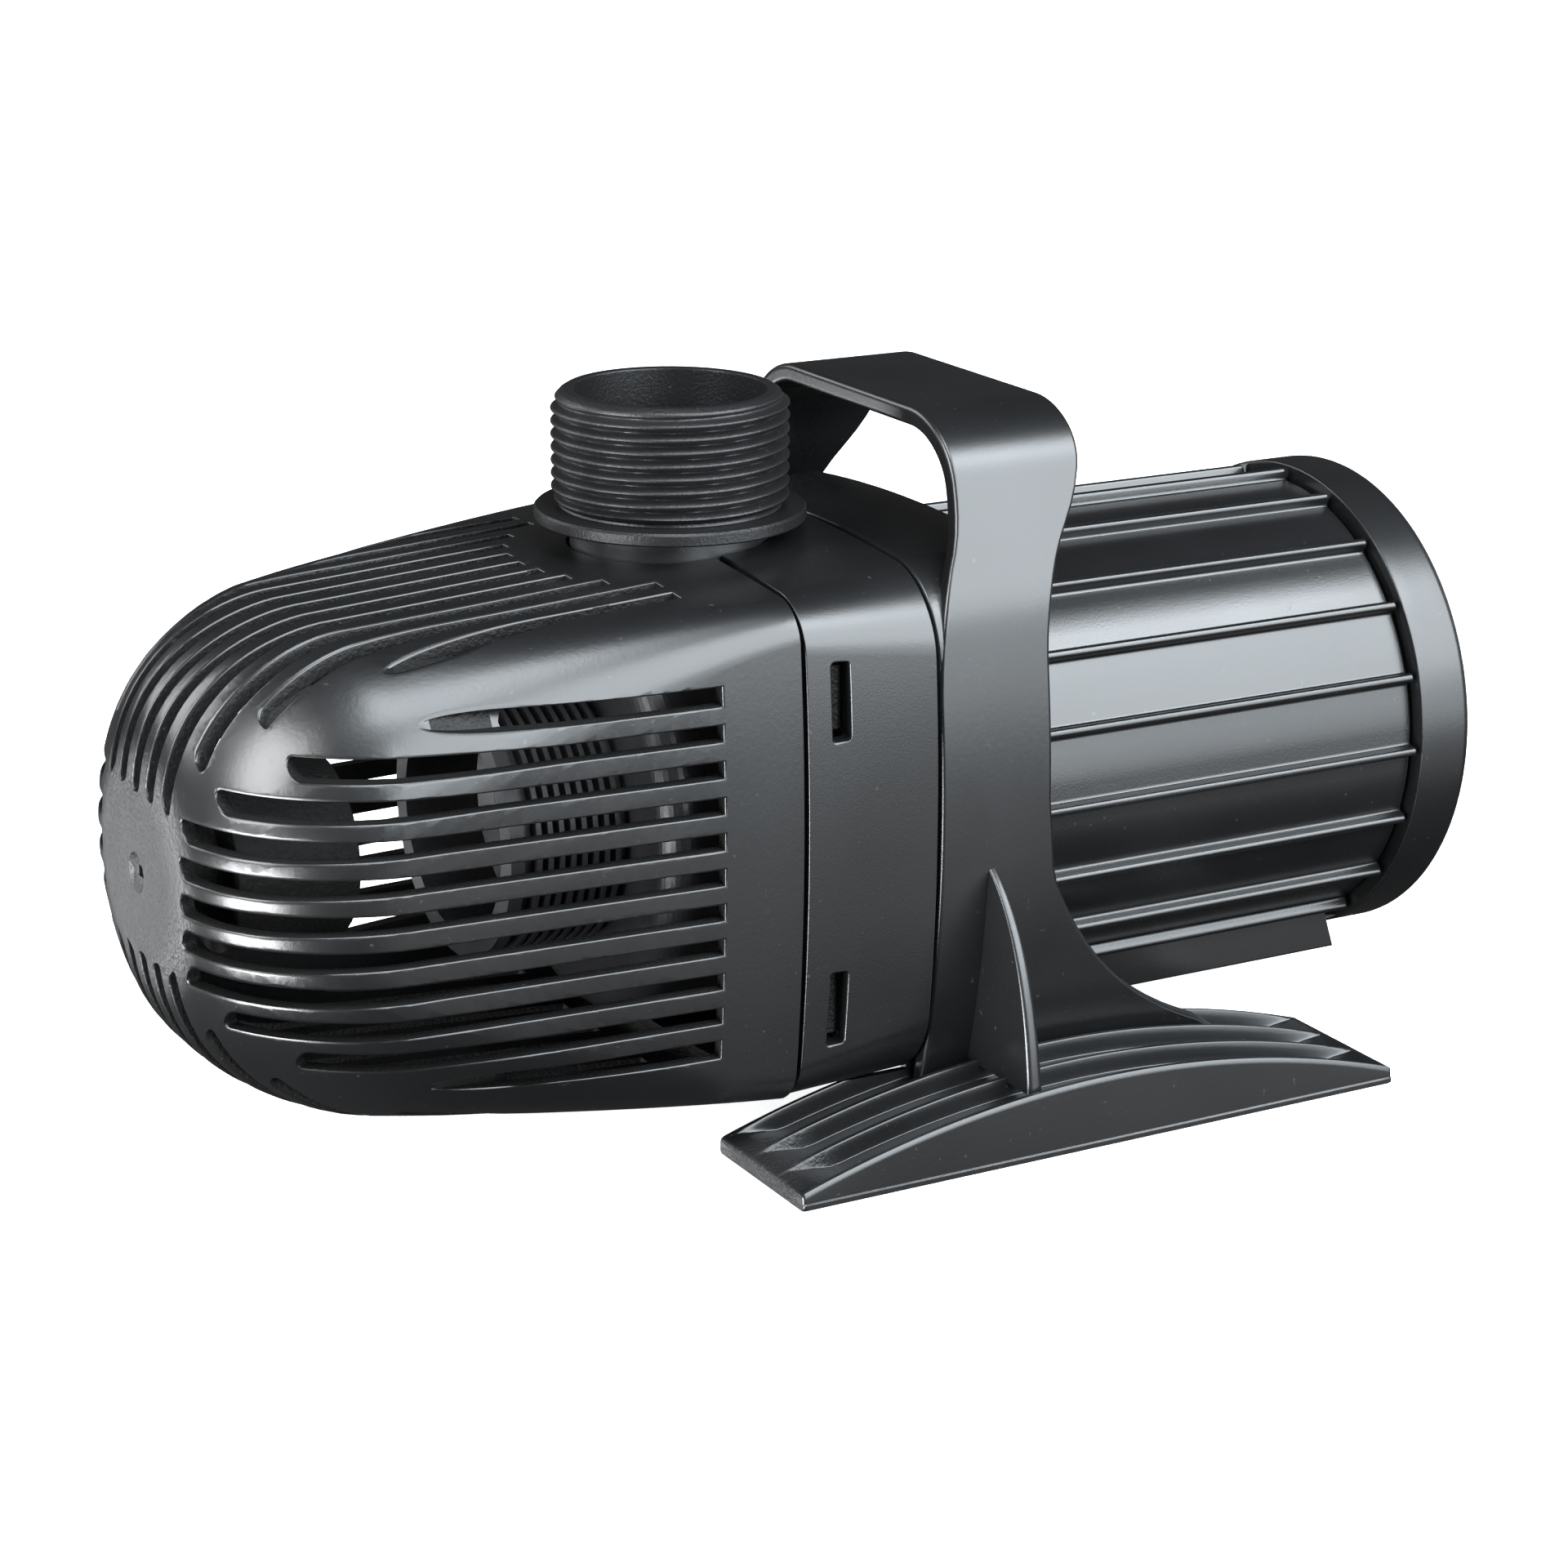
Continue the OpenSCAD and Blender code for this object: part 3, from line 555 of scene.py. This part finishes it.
def strainer_ring():
    rings = [at_x(ring_outline(x, inset), x) for x, inset in edge_stations(SEAM, RING_END - SEAM, 0.3)]
    rings += [at_x(ring_outline(x, RING_WALL), x) for x in (RING_END - SEAM, SEAM)]
    ring = loft("strainer_ring_shell", rings, "loop")
    cutters = [window_cutter(side, z) for side in (-1, 1) for z in (-WINDOW_Z, WINDOW_Z)]
    cutters.append(neck_cutter("neck_hole"))
    return boolean(ring, cutters)


# ---------------------------------------------------------------- bracket
def column_y(z):
    """How far out the columns' slightly bowed outer faces stand at height z."""
    return SIDE_Y - COLUMN_ARC_R + np.sqrt(COLUMN_ARC_R ** 2 - np.square(z))


# The band's front and rear edges, as (x, height).
FRONT_EDGE = np.vstack([[(27.4, -60)], bezier((27.4, 24), (27.8, 38), (33, 48)),
                        bezier((33, 48), (36, 54), (36, 64)), [(36, 90)]])
REAR_EDGE = np.vstack([[(94, -50)], bezier((87, -45.2), (61, -34), (51.3, -10)), [(50, 4)],
                       bezier((50, 28), (50, 41), (57, 51)), bezier((57, 51), (63, 59), (63, 68)),
                       [(63, 90)]])


def band_path():
    """The handle's and columns' outer line in the across-up plane, from the near foot to the far one."""
    bend = SHOULDER_Z - SHOULDER_BEND
    z = np.concatenate([np.linspace(BAND_BOTTOM, -36, 12), np.linspace(-34, bend, 22)])
    half = [(column_y(v), v) for v in z]
    top = rounded([(column_y(bend), bend), (column_y(SHOULDER_Z), SHOULDER_Z, 40),
                   (32, HANDLE_Z, 17), (0, HANDLE_Z)], 14)
    right = np.vstack([half[:-1], top])
    fine = [right[0]]
    for p in right[1:]:
        steps = max(1, int(np.linalg.norm(p - fine[-1]) / 3.0))
        fine += [fine[-1] + (p - fine[-1]) * (i + 1) / steps for i in range(steps)]
    right = np.array(fine)
    return np.vstack([right, (right * [-1, 1])[-2::-1]])


def bracket_band():
    """Both columns and the handle, as one band."""
    path = band_path()
    tangent = np.gradient(path, axis=0)
    tangent /= np.linalg.norm(tangent, axis=1, keepdims=True)
    outward = np.column_stack([tangent[:, 1], -tangent[:, 0]])
    rings = []
    for p, n in zip(path, outward):
        front = np.interp(p[1], FRONT_EDGE[:, 1], FRONT_EDGE[:, 0])
        rear = np.interp(p[1], REAR_EDGE[:, 1], REAR_EDGE[:, 0])
        half = (rear - front) / 2
        outline = section(half, BAND / 2, 0.9, 0, 5, 6)
        x = (front + rear) / 2 + outline[:, 0]
        off = outline[:, 1] - BAND / 2
        rings.append(np.column_stack([x, p[0] + n[0] * off, p[1] + n[1] * off]))
    return loft("band", rings, "cap")


def bracket_block():
    """Closed square ring behind the clip ring, with the round hole that takes the motor housing."""
    def outline(inset):
        return section(SIDE_Y - 1.2 - inset, BLOCK_H - inset, 13 - inset * 0.6, 3, 16, 16)

    def hole(r):
        o = outline(0)
        return o / np.linalg.norm(o, axis=1, keepdims=True) * r

    rings = [at_x(outline(inset), x) for x, inset in edge_stations(BLOCK_START, BLOCK_REAR, 0.7)]
    motor_hole = MOTOR_R + MOTOR_GAP
    rings += [at_x(hole(motor_hole), BLOCK_REAR), at_x(hole(motor_hole), BLOCK_STEP),
              at_x(outline(BLOCK_WALL), BLOCK_STEP), at_x(outline(BLOCK_WALL), BLOCK_START)]
    return loft("block", rings, "loop")


def foot_height(x, top):
    """The foot's arched upper side, FOOT_EDGE high at its ends."""
    middle, half = (FOOT_X0 + FOOT_X1) / 2, (FOOT_X1 - FOOT_X0) / 2
    return FOOT_EDGE + (top - FOOT_EDGE) * (1 - ((x - middle) / half) ** 2)


def ridge(d):
    """1 on a ridge's crest, falling softly to 0 beside it."""
    t = np.clip((np.abs(d) - 0.45) / 0.6, 0, 1)
    return 1 - t * t * (3 - 2 * t)


def foot(side):
    centres = np.linspace(FOOT_Y0 + FOOT_RIDGE_INSET, FOOT_Y1 - FOOT_RIDGE_INSET, FOOT_RIDGES)
    y = np.concatenate([[a - 3.2, a - 1.3, *np.linspace(a - 1.1, a + 1.1, 17), a + 1.3, a + 3.2]
                        for a in centres])
    y = np.unique(np.clip(y, FOOT_Y0 + 0.7, FOOT_Y1 - 0.7))
    crest = np.max([ridge(y - c) for c in centres], axis=0)
    rings = []
    for x, inset in edge_stations(FOOT_X0, FOOT_X1, 0.6, 64):
        top = foot_height(x, FOOT_TOP)
        valley = top - FOOT_VALLEY * ramp(min(x - FOOT_X0, FOOT_X1 - x) - FOOT_FADE_START, FOOT_FADE)
        z = valley + (top - valley) * crest - inset
        ring = [(FOOT_Y1 - inset - 0.45, 0), (FOOT_Y1 - inset, 0.35), (FOOT_Y1 - inset, 1.1),
                (FOOT_Y1 - inset - 0.3, 1.35), (FOOT_Y1 - inset - 0.3, top - 1.0),
                (FOOT_Y1 - inset - 0.42, top - 0.5)]
        ring += list(zip(y[::-1], z[::-1]))
        ring += [(FOOT_Y0 + inset + 0.15, top - 0.5), (FOOT_Y0 + inset, top - 1.0), (FOOT_Y0 + inset, 0.4),
                 (FOOT_Y0 + inset + 0.4, 0)]
        rings.append([(x, side * a, FLOOR_Z + max(b, 0.0)) for a, b in ring])
    return loft("foot", rings, "cap")


def fin(side):
    """Gusset between a column and its foot, with a rounded edge that widens downwards."""
    edge = bezier((47.0, FIN_TOP), (61, -15), (64.6, -43.5), 22)
    rings = []
    for y_out, z in edge:
        inner = 45.2 if z > -30 else 44.0
        half = FIN_HALF + FIN_HALF * (-z + FIN_TOP) / FIN_HEIGHT
        turn = np.radians(np.linspace(-90, 90, 9))
        nose = [(FIN_X + half * math.sin(a), y_out - 0.6 * half * (1 - math.cos(a))) for a in turn]
        ring = [(FIN_X - half, inner), *nose, (FIN_X + half, inner)]
        rings.append([(x, side * max(y, inner), z) for x, y in ring])
    return loft("fin", rings, "cap")


def screw_hole(angle):
    profile = [(2.2, BLOCK_END - 5), (2.2, BLOCK_END - 0.75), (2.7, BLOCK_END + 1)]
    hole = lathe("screw_hole", profile, "x", 32, loop=False)
    across, up = math.cos(math.radians(angle)), math.sin(math.radians(angle))
    hole.data.transform(Matrix.Translation((0, SCREW_CIRCLE_R * across * MM, SCREW_CIRCLE_R * up * MM)))
    return hole


def stand_bracket():
    body = bracket_band()
    others = [bracket_block()] + [make(side) for side in (-1, 1) for make in (foot, fin)]
    boolean(body, others, "UNION")
    around_ring = section(RING_W + RELIEF_GAP, RING_H + RELIEF_GAP, 8, 3)
    relief = loft("relief", [at_x(around_ring, x) for x in (FOOT_X0 - 1, RING_END)])
    return boolean(body, [relief] + [screw_hole(angle) for angle in (45, 135, 225, 315)])


# ---------------------------------------------------------------- motor
def housing_outline(inset=0.0):
    """Ribbed section of the motor housing."""
    shape = [(-RIB_HALF, 0.0), (-1.15, 0.03), (-0.95, 0.12), (-0.86, 0.3), (-0.8, 0.66), (-0.68, 0.84),
             (-0.45, 0.95), (-0.2, 0.995)]
    shape = shape + [(-d, g) for d, g in shape[::-1]]
    pitch = 2 * math.pi / RIB_COUNT
    angle, radius = [], []
    for i in range(RIB_COUNT):
        for d, g in shape:
            angle.append(i * pitch + d / MOTOR_R)
            radius.append(MOTOR_R + (RIB_R - MOTOR_R) * g - inset)
        first, last = i * pitch + RIB_HALF / MOTOR_R, (i + 1) * pitch - RIB_HALF / MOTOR_R
        for a in np.linspace(first, last, 6)[1:-1]:
            angle.append(a)
            radius.append(MOTOR_R - inset)
    angle, radius = np.array(angle), np.array(radius)
    return np.column_stack([radius * np.cos(angle), radius * np.sin(angle)])


def rail(side):
    """One of the two bars under the motor, whose rear end slants."""
    across = section(RAIL_W, RAIL_H, 0.5, 0, 4, 3)
    ends = [(BLOCK_END - 0.5, BLOCK_END - 0.5), (MOTOR_END - 3, MOTOR_END + 0.4)]
    rings = [[(top + (bottom - top) * (RAIL_H - z) / (2 * RAIL_H), side * RAIL_Y + y, RAIL_Z + z)
              for y, z in across] for top, bottom in ends]
    return loft("rail", rings, "cap")


def motor_housing():
    stations = [(MOTOR_START, 0.0), (BLOCK_END, 0.0), (78, 0.0), (106, 0.0),
                (MOTOR_END - 0.5, 0.0), (MOTOR_END - 0.15, 0.15), (MOTOR_END, 0.5)]
    rings = [at_x(housing_outline(inset), x) for x, inset in stations]
    outline = housing_outline()
    bore = outline / np.linalg.norm(outline, axis=1, keepdims=True) * (MOTOR_R - MOTOR_WALL)
    rings += [at_x(bore, MOTOR_END), at_x(bore, MOTOR_START)]
    return boolean(loft("ribbed_housing", rings, "loop"), [rail(side) for side in (-1, 1)], "UNION")


def motor_end_cap():
    x0, x1 = CAP_START, CAP_END
    profile = [(39.9, x0 - CAP_SPIGOT), (39.9, x0 + 0.1), (CAP_R - 0.5, x0), (CAP_R - 0.15, x0 + 0.15),
               (CAP_R, x0 + 0.5)]
    profile += [(CAP_R, x) for x in np.linspace(x0 + 3, x1 - CAP_EDGE, 4)]
    profile += [(CAP_R - CAP_EDGE * (1 - math.cos(a)), x1 - CAP_EDGE * (1 - math.sin(a)))
                for a in np.radians(range(15, 91, 15))]
    profile += [(40.5, x1), (39.6, x1 - 0.3), (39.0, x1 - 1.4), (38.2, x1 - 1.6), (16.0, x1 - 1.6),
                (15.2, x1 - 1.3), (14.6, x1 - 0.3), (14.0, x1), (6.1, x1), (6.1, x1 - CAP_PLATE),
                (36, x1 - CAP_PLATE), (36, x0 - CAP_SPIGOT)]
    return lathe("end_cap_shell", profile, "x", 192)


# ---------------------------------------------------------------- outlet
def outlet_adapter():
    steps = 160
    angle = np.linspace(0, 2 * math.pi, steps, endpoint=False)
    z = np.arange(COLLAR_TOP + 0.5, OUTLET_TOP - 0.7, 0.13)
    phase = (z[:, None] - COLLAR_TOP) / THREAD_PITCH - angle[None] / (2 * math.pi)
    wave = (0.5 + 0.5 * np.cos(2 * math.pi * phase)) ** 0.8
    fade = np.clip((z - COLLAR_TOP - 0.5) / 1.2, 0, 1)[:, None]
    lead = np.clip((OUTLET_TOP - 0.7 - z) / 1.6, 0, 1)[:, None]
    root = THREAD_R - THREAD_DEPTH
    radius = root + THREAD_DEPTH * wave * fade * lead
    before = [(NECK_R, COLLAR_Z - NECK_LENGTH), (NECK_R, COLLAR_Z), (COLLAR_R - 0.3, COLLAR_Z),
              (COLLAR_R, COLLAR_Z + 0.3), (COLLAR_R, COLLAR_TOP - 0.4), (COLLAR_R - 0.4, COLLAR_TOP),
              (root + 0.7, COLLAR_TOP), (root + 0.15, COLLAR_TOP + 0.15)]
    after = [(root - 0.1, OUTLET_TOP - 0.6), (root - 0.9, OUTLET_TOP - 0.1), (root - 1.1, OUTLET_TOP),
             (BORE_R + 0.5, OUTLET_TOP), (17.1, OUTLET_TOP - 0.15), (BORE_R, OUTLET_TOP - 0.5),
             (BORE_R, COLLAR_Z + 1.5), (NECK_BORE_R, COLLAR_Z + 1.5), (NECK_BORE_R, COLLAR_Z - NECK_LENGTH)]

    def turned(r, height):
        r = np.broadcast_to(r, steps)
        return np.column_stack([r * np.cos(angle), r * np.sin(angle), np.full(steps, height)])

    thread = [turned(r, h) for r, h in zip(radius, z)]
    rings = [turned(*p) for p in before] + thread + [turned(*p) for p in after]
    return loft("threaded_outlet", rings, "loop")


# ---------------------------------------------------------------- materials
def plastic(name, color, rough=0.34, rough_spread=0.10, grain=0.06, grain_scale=2600, zone=None, level=0.5):
    """Moulded plastic: faint cloudy colour, dust, uneven gloss, a fine grain and sparse scuffs.

    A zone, given as (centre, radius), has a coarser and rougher blasted grain.
    """
    mat = bpy.data.materials.new(name)
    mat.use_nodes = True
    nodes, links = mat.node_tree.nodes, mat.node_tree.links
    shader = nodes["Principled BSDF"]
    place = nodes.new("ShaderNodeTexCoord").outputs["Object"]

    def noise(scale, detail=3.0, roughness=0.5):
        node = nodes.new("ShaderNodeTexNoise")
        node.inputs["Scale"].default_value = scale
        node.inputs["Detail"].default_value = detail
        node.inputs["Roughness"].default_value = roughness
        links.new(place, node.inputs["Vector"])
        return node.outputs["Fac"]

    def spread(value, low, high, to_low, to_high):
        node = nodes.new("ShaderNodeMapRange")
        for key, v in (("From Min", low), ("From Max", high), ("To Min", to_low), ("To Max", to_high)):
            node.inputs[key].default_value = v
        links.new(value, node.inputs["Value"])
        return node.outputs["Result"]

    def math_node(kind, a, b):
        node = nodes.new("ShaderNodeMath")
        node.operation = kind
        for socket, value in zip(node.inputs, (a, b)):
            if isinstance(value, (int, float)):
                socket.default_value = value
            else:
                links.new(value, socket)
        return node.outputs[0]

    def color_mix(low, high, factor):
        node = nodes.new("ShaderNodeMix")
        node.data_type = "RGBA"
        for key, value in (("A", low), ("B", high)):
            if isinstance(value, tuple):
                node.inputs[key].default_value = (*value, 1)
            else:
                links.new(value, node.inputs[key])
        links.new(factor, node.inputs["Factor"])
        return node.outputs["Result"]

    cloud = spread(noise(38, 4.0), 0.3, 0.7, 0, 1)
    tint = color_mix(tuple(c * 0.82 for c in color), tuple(c * 1.22 for c in color), cloud)
    specks = spread(noise(760, 1.5), 0.73, 0.78, 0, 0.6)
    dusty = color_mix(tint, tuple(min(1.0, c * 2.2 + 0.02) for c in color), specks)
    links.new(dusty, shader.inputs["Base Color"])

    gloss = spread(noise(17, 5.0, 0.6), 0.3, 0.7, rough - rough_spread / 2, rough + rough_spread / 2)
    scuff = spread(noise(420, 6.0, 0.7), 0.62, 0.74, 0, 0.06)
    roughness = math_node("ADD", gloss, scuff)
    bump = nodes.new("ShaderNodeBump")
    bump.inputs["Distance"].default_value = 0.0004
    if zone is None:
        bump.inputs["Strength"].default_value = grain
        height = noise(grain_scale, 2.0)
    else:
        centre, radius = zone
        node = nodes.new("ShaderNodeVectorMath")
        node.operation = "DISTANCE"
        links.new(place, node.inputs[0])
        node.inputs[1].default_value = centre
        blast = spread(node.outputs["Value"], radius * 0.55, radius, 1, 0)
        roughness = math_node("ADD", roughness, math_node("MULTIPLY", blast, 0.2))
        links.new(math_node("ADD", math_node("MULTIPLY", blast, 0.75), grain), bump.inputs["Strength"])
        height = noise(1150, 2.5, 0.6)
    links.new(roughness, shader.inputs["Roughness"])
    links.new(height, bump.inputs["Height"])
    links.new(bump.outputs["Normal"], shader.inputs["Normal"])
    shader.inputs["IOR"].default_value = 1.5
    shader.inputs["Specular IOR Level"].default_value = level
    return mat


def metal(name, color, rough, metallic=1.0, brushed=180):
    mat = plastic(name, color, rough, 0.12, 0.12, brushed)
    mat.node_tree.nodes["Principled BSDF"].inputs["Metallic"].default_value = metallic
    return mat


BLACK = (0.0042, 0.0043, 0.0046)
NOSE_TIP = tuple((ORIGIN + [CAGE_TIP, 0, 0]) * MM)
FOOT_END = tuple((ORIGIN + [FOOT_X0, -(FOOT_Y0 + FOOT_Y1) / 2, FLOOR_Z]) * MM)
MATERIALS = {
    "cage_plastic": plastic("cage_black", BLACK, 0.29, 0.06, 0.05, zone=(NOSE_TIP, 0.024)),
    # cage_inside is rougher and grainier, and its weak reflection is painted shade that darkens the slots'
    # walls and the cage's inside.
    "cage_inside": plastic("cage_grained_and_shaded", (0.0065, 0.0064, 0.0062), 0.5, 0.2, 0.7, 1300, level=0.14),
    "ring_plastic": plastic("ring_black", BLACK, 0.30, 0.06, 0.05),
    "bracket_plastic": plastic("bracket_black", BLACK, 0.29, 0.08, 0.04, zone=(FOOT_END, 0.015)),
    "housing_plastic": plastic("housing_black", BLACK, 0.25, 0.06, 0.05),
    "cap_plastic": plastic("cap_black", BLACK, 0.30, 0.06, 0.05),
    "outlet_plastic": plastic("outlet_black", (0.0045, 0.0045, 0.0048), 0.38, 0.1, 0.25, 1800, level=0.32),
    "chamber_plastic": plastic("chamber_black", (0.014, 0.014, 0.015), 0.36, 0.1, 0.08),
    "intake_plastic": plastic("intake_black", (0.014, 0.014, 0.015), 0.42, 0.1, 0.1),
    "impeller_plastic": plastic("impeller_white", (0.55, 0.54, 0.50), 0.42, 0.1, 0.1),
    "can_plastic": plastic("can_grey", (0.035, 0.035, 0.038), 0.5, 0.1, 0.2),
    "gland_plastic": plastic("gland_black", (0.016, 0.016, 0.017), 0.42, 0.1, 0.15),
    "seal_rubber": plastic("seal_rubber", (0.010, 0.010, 0.010), 0.62, 0.12, 0.3, 900),
    "potting_resin": plastic("potting_resin", (0.03, 0.026, 0.02), 0.25, 0.1, 0.05),
    "ceramic": plastic("ceramic", (0.80, 0.79, 0.75), 0.22, 0.06, 0.03),
    "stainless_screw": metal("stainless", (0.60, 0.60, 0.59), 0.28),
    "rotor_magnet": metal("ferrite", (0.12, 0.12, 0.125), 0.45, 0.5, 900),
    "core_steel": metal("laminations", (0.38, 0.38, 0.39), 0.42),
    "coil_copper": metal("copper_wire", (0.62, 0.26, 0.10), 0.32, 1.0, 1400),
}


# ---------------------------------------------------------------- pieces
node_slot = {part["node"]: part["material_slot"] for part in frame["record"]["subparts"]}
for node, obj in frame["nodes"].items():
    obj.data.materials.clear()
    obj.data.materials.append(MATERIALS[node_slot[node]])
    obj.data.shade_smooth()
    obj.data.set_sharp_from_angle(angle=math.radians(30))

SHELLS = [("strainer_cage", strainer_cage, "strainer"), ("strainer_ring", strainer_ring, "pump_body"),
          ("stand_bracket", stand_bracket, "pump_body"), ("motor_housing", motor_housing, "pump_body"),
          ("motor_end_cap", motor_end_cap, "pump_body"), ("outlet_adapter", outlet_adapter, "pump_body")]
for node, make, body in SHELLS:
    piece = make()
    piece.name = node + "_shell"
    finish_piece(piece, body, MATERIALS[node_slot[node]], node)


# ---------------------------------------------------------------- floor, light and camera
def seen_by_camera(tree, seen, other):
    """A value that is seen for what the camera sees directly, and other for lights and reflections."""
    path = tree.nodes.new("ShaderNodeLightPath")
    node = tree.nodes.new("ShaderNodeMapRange")
    node.inputs["To Min"].default_value = other
    node.inputs["To Max"].default_value = seen
    tree.links.new(path.outputs["Is Camera Ray"], node.inputs["Value"])
    return node.outputs["Result"]


def stage_material():
    mat = bpy.data.materials.new("studio_floor")
    mat.use_nodes = True
    shader = mat.node_tree.nodes["Principled BSDF"]
    shader.inputs["Base Color"].default_value = (0.9, 0.9, 0.9, 1)
    shader.inputs["Roughness"].default_value = 0.9
    shader.inputs["Specular IOR Level"].default_value = 0.0
    shader.inputs["Emission Color"].default_value = (1, 1, 1, 1)
    shader.inputs["Emission Strength"].default_value = 0.88
    return mat


def floor():
    """White floor that only the camera sees, so that soft boxes below its level still reach the pump."""
    bpy.ops.mesh.primitive_plane_add(size=14, location=(0, 0, 0))
    obj = bpy.context.object
    obj.name = "floor"
    obj.data.materials.append(stage_material())
    obj.visible_diffuse = obj.visible_glossy = obj.visible_shadow = False


COOL, PALE = (0.88, 0.95, 1.0), (0.96, 0.98, 1.0)
AIM = (0, 0, 0.06)
# Name, aim, (azimuth, elevation), distance, (width, height), radiance, colour.
SOFTBOXES = [
    ("key_high", AIM, (-66, 34), 1.2, (1.65, 0.98), 12.5, COOL),
    ("key_middle", AIM, (-66, 2), 1.2, (1.4, 0.36), 6, COOL),
    ("key_low", AIM, (-66, -17), 1.2, (1.4, 0.4), 0.8, PALE),
    ("key_right", AIM, (-43, 48), 1.2, (0.55, 0.3), 8, COOL),
    ("overhead", AIM, (-112, 68), 1.2, (0.5, 0.5), 17, COOL),
    ("nose_high", AIM, (186, 30), 1.1, (0.45, 0.6), 20, PALE),
    ("nose_low", AIM, (192, -15), 1.1, (0.7, 0.42), 44, PALE),
    ("far_light", NOSE_TIP, (121, -17), 1.1, (0.2, 0.34), 15, PALE),
    ("rear_light", AIM, (8, 5), 1.2, (0.5, 0.6), 0.9, PALE),
    ("back_fill", AIM, (132, 24), 1.3, (0.8, 0.6), 6, PALE),
]


def softbox(name, aim, direction, distance, size, radiance, color):
    """Area light that looks at aim from (azimuth, elevation), in degrees, azimuth 0 being along +X."""
    azimuth, elevation = map(math.radians, direction)
    away = Vector((math.cos(azimuth) * math.cos(elevation), math.sin(azimuth) * math.cos(elevation),
                   math.sin(elevation)))
    light = bpy.data.lights.new(name, "AREA")
    light.shape = "RECTANGLE"
    light.size, light.size_y = size
    light.energy = radiance * math.pi * size[0] * size[1]
    light.color = color
    obj = bpy.data.objects.new(name, light)
    obj.location = Vector(aim) + away * distance
    obj.rotation_euler = away.to_track_quat("Z", "Y").to_euler()
    bpy.context.scene.collection.objects.link(obj)


def world_light(strength):
    world = bpy.data.worlds.new("studio")
    world.use_nodes = True
    back = world.node_tree.nodes["Background"]
    back.inputs["Color"].default_value = (1, 1, 1, 1)
    world.node_tree.links.new(seen_by_camera(world.node_tree, 1.0, strength), back.inputs["Strength"])
    bpy.context.scene.world = world


def camera():
    """Seen from the near side of the nose, a little above the pump."""
    right = Vector((0.87201, -0.48942, 0.00821))
    up = Vector((0.13930, 0.26420, 0.95437))
    back = right.cross(up).normalized()
    data = bpy.data.cameras.new("camera")
    data.lens = 88.0
    data.sensor_width = 36.0
    data.clip_end = 50
    obj = bpy.data.objects.new("camera", data)
    place = Vector((ORIGIN[0] - 305.6, -582.8, 261.7)) * MM
    obj.matrix_world = Matrix.Translation(place) @ Matrix((right, up, back)).transposed().to_4x4()
    bpy.context.scene.collection.objects.link(obj)
    bpy.context.scene.camera = obj


floor()
world_light(0.045)
for row in SOFTBOXES:
    softbox(*row)
camera()
bpy.context.scene.view_settings.view_transform = "Standard"
